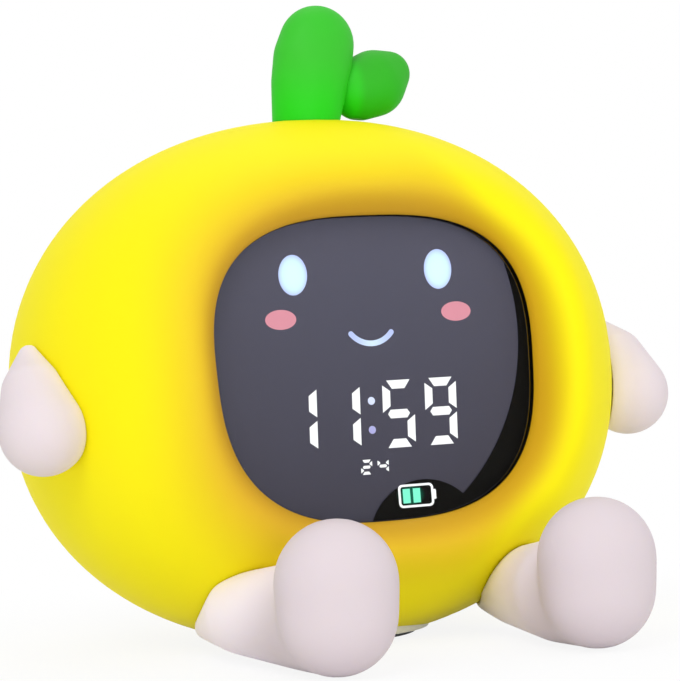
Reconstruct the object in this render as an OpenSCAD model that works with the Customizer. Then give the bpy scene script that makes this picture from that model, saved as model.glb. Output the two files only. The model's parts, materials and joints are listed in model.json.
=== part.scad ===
// Fruit-shaped children's alarm clock with a night light.
// Origin: centre of the base on the table. Front is -Y, up is +Z. Millimetres.

/* [Body] */
// Width of the soft body at its widest
body_w = 130; // [120:1:140]
// Depth of the soft body from front to back
body_d = 105; // [100:1:112]
// Height of the body above its middle
body_top = 56; // [54:0.5:60]
// Depth of the body below its middle
body_bottom = 54.4; // [52:0.2:57]
// Squareness of the body's outline, where 2 is an ellipse
body_squareness = 2.14; // [2:0.02:2.3]
// Thickness of the silicone skin
skin_t = 3; // [2.4:0.1:3.6]

/* [Display] */
// Width of the display opening
display_w = 71; // [66:0.5:75]
// Height of the display opening
display_h = 62; // [58:0.4:65]
// Squareness of the display opening, where 2 is an ellipse
display_squareness = 2.8; // [2.4:0.04:3.2]
// How much wider the display is at its top than at its middle, as a share
display_flare = 0.035; // [0:0.005:0.08]
// Lean of the display, back from upright
display_lean = 4.5; // [2:0.5:7]
// Distance of the lens in front of the body's middle
display_front = 32.4; // [30:0.2:34]
// Height of the display's centre above the body's middle
display_up = 3.6; // [2:0.2:5]
// Width of the rounded lip around the display
lip_w = 12; // [10:0.5:14]
// How fully the lip is rounded
lip_roll = 8; // [6:0.5:9]
// How far the lip's edge leans outwards, away from the display
lip_splay = 28; // [15:1:35]
// Thickness of the smoked lens
lens_t = 1.8; // [1.2:0.1:2.2]

/* [Face and time] */
// Distance between the eyes' centres
eye_gap = 32.6; // [28:0.2:36]
// Width of an eye
eye_w = 6.3; // [5:0.1:7]
// Height of an eye
eye_h = 8.2; // [7:0.1:9]
// Height of the eyes above the display's centre
eye_up = 19.6; // [18:0.2:21]
// Tilt of the eyes
eye_tilt = 4; // [0:1:8]
// Distance between the cheeks' centres
cheek_gap = 39.4; // [36:0.2:42]
// Width of a cheek
cheek_w = 6.8; // [5:0.1:8]
// Height of a cheek
cheek_h = 4; // [3:0.1:5]
// Height of the cheeks above the display's centre
cheek_up = 10.75; // [9:0.05:11.5]
// Radius of the smile's arc
smile_r = 5.9; // [5:0.1:7]
// Width of the smile's line
smile_line = 1.15; // [0.8:0.05:1.6]
// Height of the lowest point of the smile above the display's centre
smile_up = 5.05; // [3:0.05:6]
// Height of the time's digits
digit_h = 13.7; // [12:0.1:15]
// Width of a digit
digit_w = 7.2; // [6.5:0.1:8]
// Width of a digit's light bars
bar_w = 1.75; // [1.2:0.05:2]
// Distance from one digit to the next
digit_pitch = 9.6; // [9:0.1:10]
// Extra room for the colon between the two pairs of digits
colon_room = 2.65; // [2.2:0.05:3.2]
// Slant of the digits
digit_slant = 3; // [0:0.5:8]
// Depth of the middle of the time below the display's centre
time_down = 9.5; // [9:0.1:11]
// Height of the small day digits
small_h = 3; // [2.4:0.1:3.6]
// Depth of the small digits' middle below the display's centre
small_down = 19.85; // [19.4:0.05:20.6]
// Length of the battery sign
sign_w = 7.9; // [6.5:0.1:8.4]
// Height of the battery sign
sign_h = 4.7; // [3.8:0.1:5.2]
// Radius of the dark patch around the battery sign
patch_r = 13.1; // [12:0.1:14]

/* [Limbs] */
// Radius of a hand
hand_r = 8.9; // [7.5:0.1:10]
// How far in front of the body's middle a hand's centre is
hand_front = 17.2; // [15:0.2:21]
// How far below the body's middle a hand's centre is
hand_down = 5.5; // [2:0.1:8]
// How far a hand's centre stands out of the skin
hand_out = 4.7; // [3:0.1:6]
// Radius of an arm at its elbow
elbow_r = 6.55; // [5.5:0.05:7.5]
// How far in front of the body's middle an elbow is
elbow_front = 12.5; // [10:0.5:15]
// How far an elbow is above the body's middle
elbow_up = 2; // [0:0.2:4]
// How far the middle of an elbow stands out of the skin
elbow_out = 3.05; // [2:0.05:4]
// Radius of an arm at the shoulder
shoulder_r = 2.25; // [1.6:0.05:3]
// How far in front of the body's middle a shoulder is
shoulder_front = 6; // [4:0.5:8]
// How far a shoulder is above the body's middle
shoulder_up = 9.4; // [8:0.2:12]
// How far the middle of a shoulder stands out of the skin
shoulder_out = 1; // [0.5:0.1:1.5]
// Distance between the two feet's centres
feet_gap = 56; // [52:0.5:60]
// Width of a foot
foot_w = 24.4; // [21:0.2:26]
// Height of a foot
foot_h = 30; // [27:0.2:31]
// Thickness of a foot
foot_t = 20.5; // [17:0.1:22]
// How far in front of the body's middle a foot's centre is
foot_front = 67.5; // [65:0.5:70]
// Radius of a leg where it joins its foot
leg_r = 10.3; // [9:0.1:11]
// How far behind the foot's centre that place is
ankle_back = 15; // [12:0.5:18]
// Radius of a leg at its thigh
thigh_r = 8.2; // [7.5:0.1:9.5]
// How far in front of the body's middle a thigh is
thigh_front = 30; // [26:0.5:33]
// How much further out than its foot a thigh is
thigh_out = 3; // [1:0.1:4]
// Radius of a leg's hind tip
leg_tip_r = 2.3; // [1.6:0.1:3]
// How far in front of the body's middle a leg's hind tip is
leg_tip_front = 11.5; // [8:0.5:14]
// How much further out than its foot a leg's hind tip is
leg_tip_out = 4.4; // [3:0.1:7]

/* [Sprout] */
// Half the width of the big leaf near its top
leaf_r = 8.9; // [7.5:0.1:9.6]
// Height of the big leaf above the body
leaf_h = 24.4; // [22:0.2:27]
// How far the big leaf's top leans to the right
leaf_lean = 4.4; // [3:0.1:6]
// Radius of the sprout's round stem
stem_r = 7; // [6:0.1:7.5]
// Radius of the small leaf's round end
bud_r = 6.1; // [5.5:0.1:7]
// How far right of the stem the small leaf's end is
bud_side = 20.4; // [19:0.1:21.5]
// Height of the small leaf's end above the body
bud_up = 9.1; // [8:0.1:9.8]
// Thickness of the leaves as a share of their width
leaf_flatness = 0.78; // [0.6:0.02:0.9]
// Travel of the sprout when it is pressed
sprout_travel = 0.8; // [0.4:0.1:1]

/* [Back] */
// Width of the rear cover
cover_w = 66.8; // [64:0.4:72]
// Height of the rear cover
cover_h = 56.4; // [54:0.4:60]
// Thickness of the rear cover
cover_t = 2.4; // [2:0.1:3]
// Radius of a key
key_r = 3.45; // [3:0.05:3.8]
// Distance from one key to the next
key_pitch = 10; // [9.4:0.1:10.4]
// Height of the row of keys above the body's middle
key_up = 13; // [12:0.2:14]
// How far the keys stand out of the cover
key_proud = 1.4; // [1.2:0.1:2]
// Travel of a key
key_travel = 0.8; // [0.4:0.1:1]
// Travel of the slide switch
slide_travel = 4; // [3:0.2:4.4]
// Radius of the loudspeaker
speaker_r = 10; // [8.5:0.1:10.5]
// Depth of the loudspeaker's centre below the body's middle
speaker_down = 7; // [6:0.1:8]

/* [Base] */
// Radius of the base plate
base_r = 22; // [20:0.2:23]
// Thickness of the base plate
base_t = 2.4; // [2:0.1:3]
// How much of the body's round bottom the base plate takes off
base_cut = 2.4; // [2:0.1:3]
// How far the rubber pad stands out of the base plate
pad_proud = 1; // [0.6:0.1:1.6]
// Radius of the rubber pad
pad_r = 19; // [17.4:0.1:19.6]

/* [Core] */
// Wall of the hard core
core_t = 2; // [1.6:0.1:2.4]
// Distance of the core's seam in front of the body's middle
seam_front = 24; // [23.4:0.2:25]
// Radius of the battery cell
cell_r = 9.2; // [8:0.1:9.4]
// Length of the battery cell
cell_len = 65; // [50:1:68]
// Thickness of the circuit boards
board_t = 1.2; // [1:0.1:1.6]
// Radius of the night light's board
light_r = 20; // [17:0.5:22]

/* [Fits] */
// Gap between soft pieces and what they sit against
soft_gap = 0.3; // [0.2:0.05:0.4]
// Gap between hard pieces that are put together
hard_gap = 0.1; // [0.05:0.05:0.2]
// Radial clearance of pieces that slide in a hole
slide_gap = 0.07; // [0.03:0.01:0.1]

/* [Hidden] */

yellow = [0.98, 0.9, 0.08];
limb_pink = [0.93, 0.89, 0.9];
leaf_green = [0.25, 0.75, 0.2];
shell_white = [0.93, 0.93, 0.9];
board_green = [0.1, 0.35, 0.22];
steel = [0.72, 0.72, 0.74];

half_w = body_w / 2;
half_d = body_d / 2;
middle_z = body_bottom - base_cut + pad_proud;
plate_z = pad_proud;

sectors = 72;
body_rings = 14;
lip_rings = 7;
core_sectors = 48;
// How much tighter the lip's curve gets with each millimetre under the skin's surface
lip_tighten = 0.8;

// ---- The body's surface -------------------------------------------------
// Heights and depths here are measured from the body's middle; inset moves the surface inwards.
function half_h(z) = z < 0 ? body_bottom : body_top;
function share(v, r) = pow(abs(v) / r, body_squareness);
function left_of(s) = pow(max(0, 1 - s), 1 / body_squareness);
function depth_at(x, z, inset = 0) =
    (half_d - inset) * left_of(share(x, half_w - inset) + share(z, half_h(z) - inset));
function width_at(y, z, inset = 0) =
    (half_w - inset) * left_of(share(y, half_d - inset) + share(z, half_h(z) - inset));
function drop_at(x, y, inset = 0) =
    (body_bottom - inset) * left_of(share(x, half_w - inset) + share(y, half_d - inset));
function rise_at(x, y, inset = 0) =
    (body_top - inset) * left_of(share(x, half_w - inset) + share(y, half_d - inset));
function unit(v) = v / norm(v);
function on_body(d, inset) =
    let (k = pow(pow(abs(d.x), body_squareness) + pow(abs(d.y), body_squareness)
        + pow(abs(d.z), body_squareness), 1 / body_squareness))
    [d.x * (half_w - inset), d.y * (half_d - inset), d.z * (half_h(d.z) - inset)] / k;

// ---- The display's outline and plane -------------------------------------
function signed_pow(v, p) = sign(v) * pow(abs(v), p);
function outline(a, grow = 0) =
    let (v = signed_pow(sin(a), 2 / display_squareness))
    [(display_w / 2 * (1 + display_flare * v) + grow) * signed_pow(cos(a), 2 / display_squareness),
        (display_h / 2 + grow) * v];
// A point of the display's plane; lift is measured out of the lens's face
function on_display(p, lift) = [p.x,
    -display_front + p.y * sin(display_lean) - lift * cos(display_lean),
    display_up + p.y * cos(display_lean) + lift * sin(display_lean)];

// ---- One meridian of the body, from the back round to the display's edge --
function crest(a, inset) =
    let (p = outline(a, lip_w), x = p.x, z = display_up + p.y)
    unit([x / (half_w - inset), -depth_at(x, z, inset) / (half_d - inset), z / (half_h(z) - inset)]);
function towards(d, s) =
    let (turn = acos(d.y))
    (sin((1 - s) * turn) * [0, 1, 0] + sin(s * turn) * d) / sin(turn);
function bezier(p, t) = pow(1 - t, 3) * p[0] + 3 * t * pow(1 - t, 2) * p[1]
    + 3 * t * t * (1 - t) * p[2] + t * t * t * p[3];
function lip_curve(a, inset, lift) =
    let (d = crest(a, inset),
        start = on_body(d, inset),
        heading = unit(start - on_body(towards(d, 0.97), inset)),
        end = on_display(outline(a, inset), lift),
        away = unit(on_display(outline(a, inset + 1), lift) - end),
        out = [0, -cos(display_lean), sin(display_lean)],
        rise = cos(lip_splay) * out + sin(lip_splay) * away,
        roll = lip_roll - lip_tighten * inset)
    [start, start + roll * heading, end + roll * rise, end];
function meridian(a, inset, lift, floor_lift, rings, lips) =
    let (d = crest(a, inset), lip = lip_curve(a, inset, lift))
    concat([for (j = [1:rings]) on_body(towards(d, j / rings), inset)],
        [for (k = [1:lips]) bezier(lip, k / lips)],
        [on_display(outline(a, inset), floor_lift)]);

// A shell that is open at the display: the outer surface, the rim, and the inner surface
module bowl(outer, inner, lift, floor_lift, count, rings, lips) {
    turns = [for (i = [0:count - 1]) i * 360 / count];
    outside = [for (a = turns) meridian(a, outer, lift, floor_lift, rings, lips)];
    inside = [for (a = turns) meridian(a, inner, lift, floor_lift, rings, lips)];
    n = rings + lips + 1;
    points = concat([[0, half_d - outer, 0]],
        [for (m = outside) for (p = m) p],
        [for (m = inside) for (j = [n - 1:-1:0]) m[j]],
        [[0, half_d - inner, 0]]);
    last = 1 + 2 * n * count;
    // index of ring j of sector i, counted from the outer pole over the rim to the inner pole
    function at(i, j) = let (s = i % count)
        j < n ? 1 + s * n + j : 1 + count * n + s * n + (j - n);
    faces = concat(
        [for (i = [0:count - 1]) [0, at(i, 0), at(i + 1, 0)]],
        [for (i = [0:count - 1]) for (j = [0:2 * n - 2]) each
            [[at(i, j), at(i, j + 1), at(i + 1, j + 1)], [at(i, j), at(i + 1, j + 1), at(i + 1, j)]]],
        [for (i = [0:count - 1]) [last, at(i + 1, 2 * n - 1), at(i, 2 * n - 1)]]);
    translate([0, 0, middle_z]) polyhedron(points, faces);
}

// The whole rounded body with no crater, used to fit pieces against it
module plain_body(grow) {
    count = 48;
    rings = 23;
    points = concat([[0, 0, body_top + grow]],
        [for (j = [1:rings]) for (i = [0:count - 1])
            let (t = j * 180 / (rings + 1), a = i * 360 / count)
            on_body([sin(t) * cos(a), sin(t) * sin(a), cos(t)], -grow)],
        [[0, 0, -body_bottom - grow]]);
    last = 1 + rings * count;
    function at(i, j) = 1 + (j - 1) * count + i % count;
    faces = concat(
        [for (i = [0:count - 1]) [0, at(i + 1, 1), at(i, 1)]],
        [for (j = [1:rings - 1]) for (i = [0:count - 1]) each
            [[at(i, j), at(i + 1, j), at(i + 1, j + 1)], [at(i, j), at(i + 1, j + 1), at(i, j + 1)]]],
        [for (i = [0:count - 1]) [last, at(i, rings), at(i + 1, rings)]]);
    translate([0, 0, middle_z]) polyhedron(points, faces);
}

// ---- Helpers ---------------------------------------------------------------
// Draws in the display's own plane: x right, y up, z out of the lens
module in_display() {
    translate([0, -display_front, middle_z + display_up]) rotate([90 - display_lean, 0, 0]) children();
}
// A slab between two depths below the lens's face
module layer(top, bottom) {
    in_display() translate([0, 0, -bottom]) linear_extrude(bottom - top) children();
}
// Draws on the back: x right as seen from behind, y up from the middle, z out of the back
module on_back(y) {
    translate([0, y, middle_z]) rotate([90, 0, 180]) children();
}
module slab(top, bottom) {
    on_back(top) translate([0, 0, bottom - top]) linear_extrude(top - bottom) children();
}
module display_shape(grow) polygon([for (i = [0:sectors - 1]) outline(i * 360 / sectors, grow)]);
module oval(w, h, count = 72) {
    polygon([for (i = [0:count - 1]) [w / 2 * cos(i * 360 / count), h / 2 * sin(i * 360 / count)]]);
}
module round_box(w, h, r) {
    hull_x = w / 2 - r;
    hull_y = h / 2 - r;
    square([w, h - 2 * r], center = true);
    square([w - 2 * r, h], center = true);
    for (x = [-hull_x, hull_x]) for (y = [-hull_y, hull_y]) translate([x, y]) circle(r, $fn = 24);
}
module mirrored() {
    children();
    mirror([1, 0, 0]) children();
}
// A screw whose head sits on z = 0 and whose shaft runs down from there
module screw(r, long) {
    difference() {
        union() {
            translate([0, 0, -long]) cylinder(h = long, r = r, $fn = 24);
            cylinder(h = head_t, r = r * head_share, $fn = 32);
        }
        translate([0, 0, head_t - socket_t]) linear_extrude(socket_t + 1) circle(r * 0.7, $fn = 6);
    }
}

// ---- Depths of the display's layers below the lens's face -------------------
layer_gap = 0.05;
film_top = lens_t + layer_gap;
film_t = 0.2;
panel_top = film_top + film_t + layer_gap;
panel_t = 0.8;
block_top = panel_top + panel_t + layer_gap;
block_t = 5;
display_board_top = block_top + block_t + layer_gap;
skin_rim = lens_t + 0.2;
core_rim = skin_rim + 2;
flange_top = core_rim + hard_gap;
flange_t = 2.1;
flange_grow = 4.6;
ear_grow = 6.6;
ear_up = 7;
ear_r = 2.8;
lens_grow = -0.2;
film_grow = lens_grow - layer_gap;
panel_grow = film_grow;
panel_room = 0.1;
block_grow = -4;
block_room = 0.2;
display_board_grow = 2.6;
holder_post_r = 2.2;
holder_grow = skin_t - 0.2;
board_post_grow = 0.2;
// ---- Lights on the display ----------------------------------------------------
time_side = -1.55;
face_side = -0.2;
shown_time = [1, 1, 5, 9];
shown_day = [2, 4];
bar_corner = 0.54;
bar_gap = 0.2;
bar_tip = 0.64;
bar_slope = 0.7;
// Which way round each bar is drawn
bar_side = [[1, 1], [1, 1], [1, -1], [1, -1], [-1, -1], [-1, 1], [1, 1]];
colon_r = 0.8;
colon_spread = 2.93;
small_at = [-1.8, -small_down];
small_w = 2.5;
small_pitch = 3.7;
small_bar = 0.6;
smile_half = 50;
smile_steps = 12;
sign_up = 4.7;
sign_at = [6.8, sign_up - display_h / 2];
sign_line = 0.45;
sign_bridge = 0.3;
sign_nub = [0.5, 2];
sign_bar = [1.6, 2.9];
sign_bar_in = 1.8;
sign_bar_pitch = 2.3;
clear_r = 44.2;
clear_at = [-10.7, 7.35];
patch_low = 5.25;
patch_at = [8.6, -display_h / 2 - patch_low];
led_size = [1, 1, 0.6];
// ---- Screws ---------------------------------------------------------------
head_t = 1;
head_share = 1.9;
socket_t = 0.6;
screw_r = 1;
screw_long = 5;
screw_gap = 0.05;
recess_t = head_t + hard_gap;
recess_r = screw_r * head_share + 0.3;
shell_screw_r = 1.2;
cover_screw_at = [14, 22.2];

// ---- Back ------------------------------------------------------------------
key_places = [-2, -1, 0, 1, 2];
cover_sink = 1.2;
cover_face = depth_at(cover_w / 2, 0) - cover_sink;
cover_back = cover_face - cover_t;
core_back = cover_back - hard_gap;
board_gap = 8;
board_front = cover_back - board_gap;
board_edge = 3.5;
board_h = 37;
board_tab = [20.8, 45];
key_flange_r = key_r + 0.95;
key_flange_t = 1;
key_stem_r = 1.2;
switch_h = 3.5;
switch_seat = 0.02;
switch_size = 4.5;
well_deep = 1.5;
well_r = 1.5;
stem_in_well = 0.3;
slide_at = [-18, -1];
knob_size = [3.4, 2.6];
knob_plate = [4.6, 4.6];
slide_box = [10.5, 5];
slide_h = 4;
reset_at = [17, -1];
reset_r = 0.6;
usb_down = 21;
usb_size = [8.9, 3.2];
usb_wall = 0.3;
usb_sink = 0.8;
usb_gap = 0.15;
standoff_top = [5, 20];
standoff_low = [12, -15];
standoff_r = 2.2;
grille_r = 0.8;
grille_pitch = 2.8;
speaker_frame_t = 4;
speaker_magnet_t = 3.4;

// ---- Core ------------------------------------------------------------------
core_out = skin_t + soft_gap;
core_in = core_out + core_t;
shell_screw_up = 17;
shell_screw_in = 5.25;
shell_screw_at = [width_at(-seam_front, shell_screw_up, core_in) - shell_screw_in, shell_screw_up];
boss_r = 2.8;
rib_t = 2.4;
front_boss_long = 3;
rear_boss_long = 9;
cover_boss_r = 3;
cover_boss_long = 7;
base_boss_at = 15;
base_boss_r = 3.2;
base_boss_h = 7;
base_screw_long = 7;
core_floor = -body_bottom + base_cut + 4;
pad_seat = 0.4;
base_head_z = plate_z + pad_seat + recess_t;

// ---- Cell, cradle and night light ------------------------------------------
cell_y = 4;
cell_up = -24;
post_r = 1.8;
cradle_floor = 2.4;
cradle_wall = 1.5;
cradle_low = cell_up - cell_r - soft_gap - cradle_floor;
cradle_top = cell_up + 1.2;
cradle_long = cell_len + 2 * (soft_gap + cradle_wall);
cradle_wide = 2 * (cell_r + soft_gap + 2 * post_r);
cradle_foot_at = 20;
cradle_foot_r = 4;
cradle_foot_up = core_floor + 8;
light_post_at = [14, cell_r + soft_gap + post_r];
light_up = cell_up + cell_r + 3.6;
diffuser_r = light_r - 7.6;
diffuser_t = 1.2;

// ---- Sprout ----------------------------------------------------------------
stem_side = 1;
stem_bottom = body_top - skin_t + 1;
stem_over = 0.7;
leaf_start = 0.5;
leaf_neck = 0.05;
leaf_mid_up = 0.37;
leaf_mid_lean = 0.43;
leaf_fit = 0.05;
bud_y = 1;
bud_flatness = leaf_flatness + 0.06;
bud_mid_r = 7.15;
bud_mid_at = [-6.7, -1.8];
bud_peg_r = 1.6;
bud_peg_start = 9;
bud_peg_long = 4;
bud_peg_room = 0.2;
plunger_r = 3;
plunger_head_r = 5;
plunger_head_h = 1.2;
plunger_step = 0.8;
guide_drop = 1.8;
guide_top = body_top - core_in - guide_drop;
guide_seat_h = 2.5;
guide_h = 11.4;
guide_r = 6;
guide_flange_r = 11;
guide_flange_t = 1.9;
guide_screw_at = 8.6;
guide_legs_at = 8.5;
guide_leg = [4, 8];
spring_pocket_r = 5;
spring_pocket_deep = 3.4;
spring_r = 4.2;
spring_wire = 0.35;
collar_r = 4.2;
collar_t = 0.9;
guide_bottom = guide_top - guide_h;
collar_bottom = guide_bottom - hard_gap - collar_t;
tip_r = 1.2;
sprout_switch_top = guide_bottom - 2.5;
sprout_board_top = sprout_switch_top - switch_h;
sprout_board_size = [2 * guide_legs_at + 5, 10];
sprout_switch_size = 6;

// ---- Arms and legs -----------------------------------------------------------
peg_r = 3;
peg_outside = 2.5;
arm_peg_front = 15;
arm_peg_down = 1;
arm_peg_inside = skin_t - 0.4;
leg_side = feet_gap / 2;
leg_peg_side = leg_side + 2;
leg_peg_front = 24;
leg_peg_inside = skin_t - 1.4;
sole = 0.1;
leg_tip_drop = 0.9;
thigh_clear = 1.2;
instep_r = 0.8 * leg_r;
instep_up = 1;
foot_taper = 0.97;

// ---- Soft outer pieces -------------------------------------------------------
module body_skin() {
    color(yellow) difference() {
        bowl(0, skin_t, 0.3, -skin_rim, sectors, body_rings, lip_rings);
        // hole for the base plate
        translate([0, 0, -2 * base_cut])
            cylinder(h = 4 * base_cut + 2 * skin_t, r = base_r + soft_gap, $fn = 96);
        // opening around the rear cover
        on_back(half_d + 5) translate([0, 0, -half_d + 15]) linear_extrude(half_d)
            oval(cover_w + 2 * soft_gap, cover_h + 2 * soft_gap);
        // hole for the sprout's stem
        translate([stem_side, 0, middle_z + body_top - 2 * skin_t])
            cylinder(h = 4 * skin_t, r = stem_r + soft_gap, $fn = 64);
        mirrored() {
            arm_peg_place() cylinder(h = 3 * skin_t, r = peg_r + soft_gap, center = true, $fn = 32);
            leg_peg_place() cylinder(h = 3 * skin_t, r = peg_r + soft_gap, center = true, $fn = 32);
        }
    }
}

// Where the pegs of the arms and legs go through the skin, with their outer end along +z
module arm_peg_place() {
    translate([width_at(-arm_peg_front, -arm_peg_down), -arm_peg_front, middle_z - arm_peg_down])
        rotate([0, 90, 0]) children();
}
module leg_peg_place() {
    translate([leg_peg_side, -leg_peg_front, middle_z - drop_at(leg_peg_side, -leg_peg_front)])
        rotate([180, 0, 0]) children();
}

// A place beside the body, by how far it is in front of and above the middle and out of the surface
function beside(front, up, out) = [width_at(-front, up) + out, -front, middle_z + up];
// The right arm: a bent egg from the shoulder down to the hand, hollowed to lie against the body
module arm() {
    color(limb_pink) union() {
        difference() {
            hull() {
                translate(beside(hand_front, -hand_down, hand_out)) sphere(hand_r, $fn = 36);
                translate(beside(elbow_front, elbow_up, elbow_out)) sphere(elbow_r, $fn = 32);
                translate(beside(shoulder_front, shoulder_up, shoulder_out)) sphere(shoulder_r, $fn = 24);
            }
            plain_body(soft_gap);
        }
        arm_peg_place() translate([0, 0, -arm_peg_inside])
            cylinder(h = arm_peg_inside + peg_outside, r = peg_r, $fn = 32);
    }
}
module right_arm() arm();
module left_arm() mirror([1, 0, 0]) arm();

// The right leg and its foot: a lying drop whose tip is under the body, and an upright egg
module leg() {
    tip_side = leg_side + leg_tip_out;
    tip_z = middle_z - drop_at(tip_side, -leg_tip_front) - leg_tip_drop;
    color(limb_pink) union() {
        difference() {
            union() {
                hull() {
                    translate([tip_side, -leg_tip_front, tip_z]) sphere(leg_tip_r, $fn = 24);
                    translate([leg_side + thigh_out, -thigh_front, thigh_r + thigh_clear])
                        sphere(thigh_r, $fn = 32);
                    translate([leg_side, ankle_back - foot_front, leg_r + sole]) sphere(leg_r, $fn = 36);
                    translate([leg_side, -foot_front, leg_r + sole + instep_up]) sphere(instep_r, $fn = 32);
                }
                translate([leg_side, -foot_front, 0]) foot();
            }
            plain_body(soft_gap);
        }
        leg_peg_place() translate([0, 0, -leg_peg_inside])
            cylinder(h = leg_peg_inside + peg_outside, r = peg_r, $fn = 32);
    }
}
// The foot's egg is widest a little above its middle
module foot() {
    high_r = foot_w / 2;
    low_r = high_r * foot_taper;
    scale([1, foot_t / foot_w, 1]) hull() {
        translate([0, 0, low_r + sole]) sphere(low_r, $fn = 36);
        translate([0, 0, foot_h - high_r]) sphere(high_r, $fn = 40);
    }
}
module right_leg() leg();
module left_leg() mirror([1, 0, 0]) leg();

// ---- Sprout ----------------------------------------------------------------
module at_sprout(up) translate([stem_side, 0, middle_z + up]) children();
module leaf_ball(side, up, grow) {
    at_sprout(body_top + up) translate([side, 0, 0])
        scale([1, leaf_flatness, 1]) sphere(leaf_r + grow, $fn = 36);
}
// The big leaf above its stem: a tall egg that leans to the right
module leaf_form(grow) {
    hull() {
        at_sprout(body_top + leaf_start) cylinder(h = 0.3, r = stem_r - leaf_neck + grow, $fn = 48);
        leaf_ball(leaf_lean * leaf_mid_lean, leaf_h * leaf_mid_up, grow);
        leaf_ball(leaf_lean, leaf_h - leaf_r, grow);
    }
}
module big_leaf() {
    color(leaf_green) difference() {
        union() {
            at_sprout(stem_bottom) cylinder(h = body_top - stem_bottom + stem_over, r = stem_r, $fn = 64);
            leaf_form(0);
        }
        at_sprout(stem_bottom - 1)
            cylinder(h = plunger_head_h + 1 + hard_gap, r = plunger_head_r + leaf_fit, $fn = 48);
        bud_peg(bud_peg_r + leaf_fit, bud_peg_long + bud_peg_room);
    }
}
module at_bud_end() translate([stem_side + bud_side, bud_y, middle_z + body_top + bud_up]) children();
// The peg that holds the small leaf in the big one, running back along the small leaf's middle
module bud_peg(r, long) {
    tilt = atan2(-bud_mid_at.y, -bud_mid_at.x);
    at_bud_end() rotate([0, -90 - tilt, 0]) translate([0, 0, bud_peg_start])
        cylinder(h = long, r = r, $fn = 24);
}
// The small leaf: a lying egg with its thick end against the big leaf, hollowed to fit it
module small_leaf() {
    color(leaf_green) union() {
        difference() {
            hull() {
                at_bud_end() scale([1, bud_flatness, 1]) sphere(bud_r, $fn = 36);
                at_bud_end() translate([bud_mid_at.x, 0, bud_mid_at.y])
                    scale([1, bud_flatness, 1]) sphere(bud_mid_r, $fn = 36);
            }
            leaf_form(hard_gap);
            plain_body(sprout_travel + soft_gap);
        }
        bud_peg(bud_peg_r, bud_peg_long);
    }
}
module sprout_plunger() {
    color(shell_white) {
        at_sprout(stem_bottom - plunger_step)
            cylinder(h = plunger_step + plunger_head_h, r = plunger_head_r, $fn = 48);
        at_sprout(collar_bottom)
            cylinder(h = stem_bottom - plunger_step - collar_bottom, r = plunger_r, $fn = 48);
        at_sprout(collar_bottom) cylinder(h = collar_t, r = collar_r, $fn = 48);
        at_sprout(sprout_switch_top - stem_in_well)
            cylinder(h = collar_bottom - sprout_switch_top + stem_in_well, r = tip_r, $fn = 32);
    }
}
// A spring of round wire, as one closed tube
module coil(r, wire, h, turns) {
    steps = turns * 14;
    sides = 8;
    function place(i, k) = let (a = i * 360 * turns / steps, b = k * 360 / sides)
        [(r + wire * cos(b)) * cos(a), (r + wire * cos(b)) * sin(a),
            wire + (h - 2 * wire) * i / steps + wire * sin(b)];
    points = [for (i = [0:steps]) for (k = [0:sides - 1]) place(i, k)];
    faces = concat(
        [[for (k = [0:sides - 1]) k]],
        [for (i = [0:steps - 1]) for (k = [0:sides - 1]) each
            [[i * sides + k, (i + 1) * sides + k, (i + 1) * sides + (k + 1) % sides],
             [i * sides + k, (i + 1) * sides + (k + 1) % sides, i * sides + (k + 1) % sides]]],
        [[for (k = [sides - 1:-1:0]) steps * sides + k]]);
    polyhedron(points, faces);
}
module sprout_spring() {
    bottom = guide_top - spring_pocket_deep + layer_gap;
    top = stem_bottom - plunger_step - layer_gap;
    color(steel) at_sprout(bottom) coil(spring_r, spring_wire, top - bottom, 4);
}
module sprout_guide() {
    leg_h = guide_top - guide_flange_t - sprout_board_top;
    color(shell_white) difference() {
        union() {
            at_sprout(guide_top - guide_flange_t) cylinder(h = guide_flange_t, r = guide_flange_r, $fn = 64);
            at_sprout(guide_bottom) cylinder(h = guide_h, r = guide_r, $fn = 48);
            for (side = [-1, 1]) at_sprout(sprout_board_top + layer_gap)
                translate([side * guide_legs_at - guide_leg.x / 2, -guide_leg.y / 2, 0])
                    cube([guide_leg.x, guide_leg.y, leg_h]);
        }
        at_sprout(guide_bottom - 1) cylinder(h = guide_h + 2, r = plunger_r + slide_gap, $fn = 48);
        at_sprout(guide_top - spring_pocket_deep)
            cylinder(h = spring_pocket_deep + 1, r = spring_pocket_r, $fn = 48);
        guide_screw_places() translate([0, 0, -1])
            cylinder(h = guide_flange_t + 2, r = screw_r + screw_gap, $fn = 24);
        sprout_board_screw_places() cylinder(h = screw_long, r = screw_r + screw_gap, $fn = 24);
    }
}
module guide_screw_places() {
    for (side = [-1, 1]) at_sprout(guide_top - guide_flange_t)
        translate([0, side * guide_screw_at, 0]) children();
}
module sprout_board_screw_places() {
    for (side = [-1, 1]) at_sprout(sprout_board_top - board_t)
        translate([side * guide_legs_at, 0, 0]) children();
}
module sprout_board() {
    color(board_green) difference() {
        at_sprout(sprout_board_top - board_t) translate(-sprout_board_size / 2)
            cube([sprout_board_size.x, sprout_board_size.y, board_t]);
        sprout_board_screw_places() translate([0, 0, -1])
            cylinder(h = board_t + 2, r = screw_r + screw_gap, $fn = 24);
    }
}
module sprout_switch() {
    color([0.15, 0.15, 0.16]) difference() {
        at_sprout(sprout_board_top + switch_seat)
            translate([-sprout_switch_size / 2, -sprout_switch_size / 2, 0])
                cube([sprout_switch_size, sprout_switch_size, switch_h - switch_seat]);
        at_sprout(sprout_switch_top - well_deep) cylinder(h = well_deep + 1, r = well_r, $fn = 32);
    }
}

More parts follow.
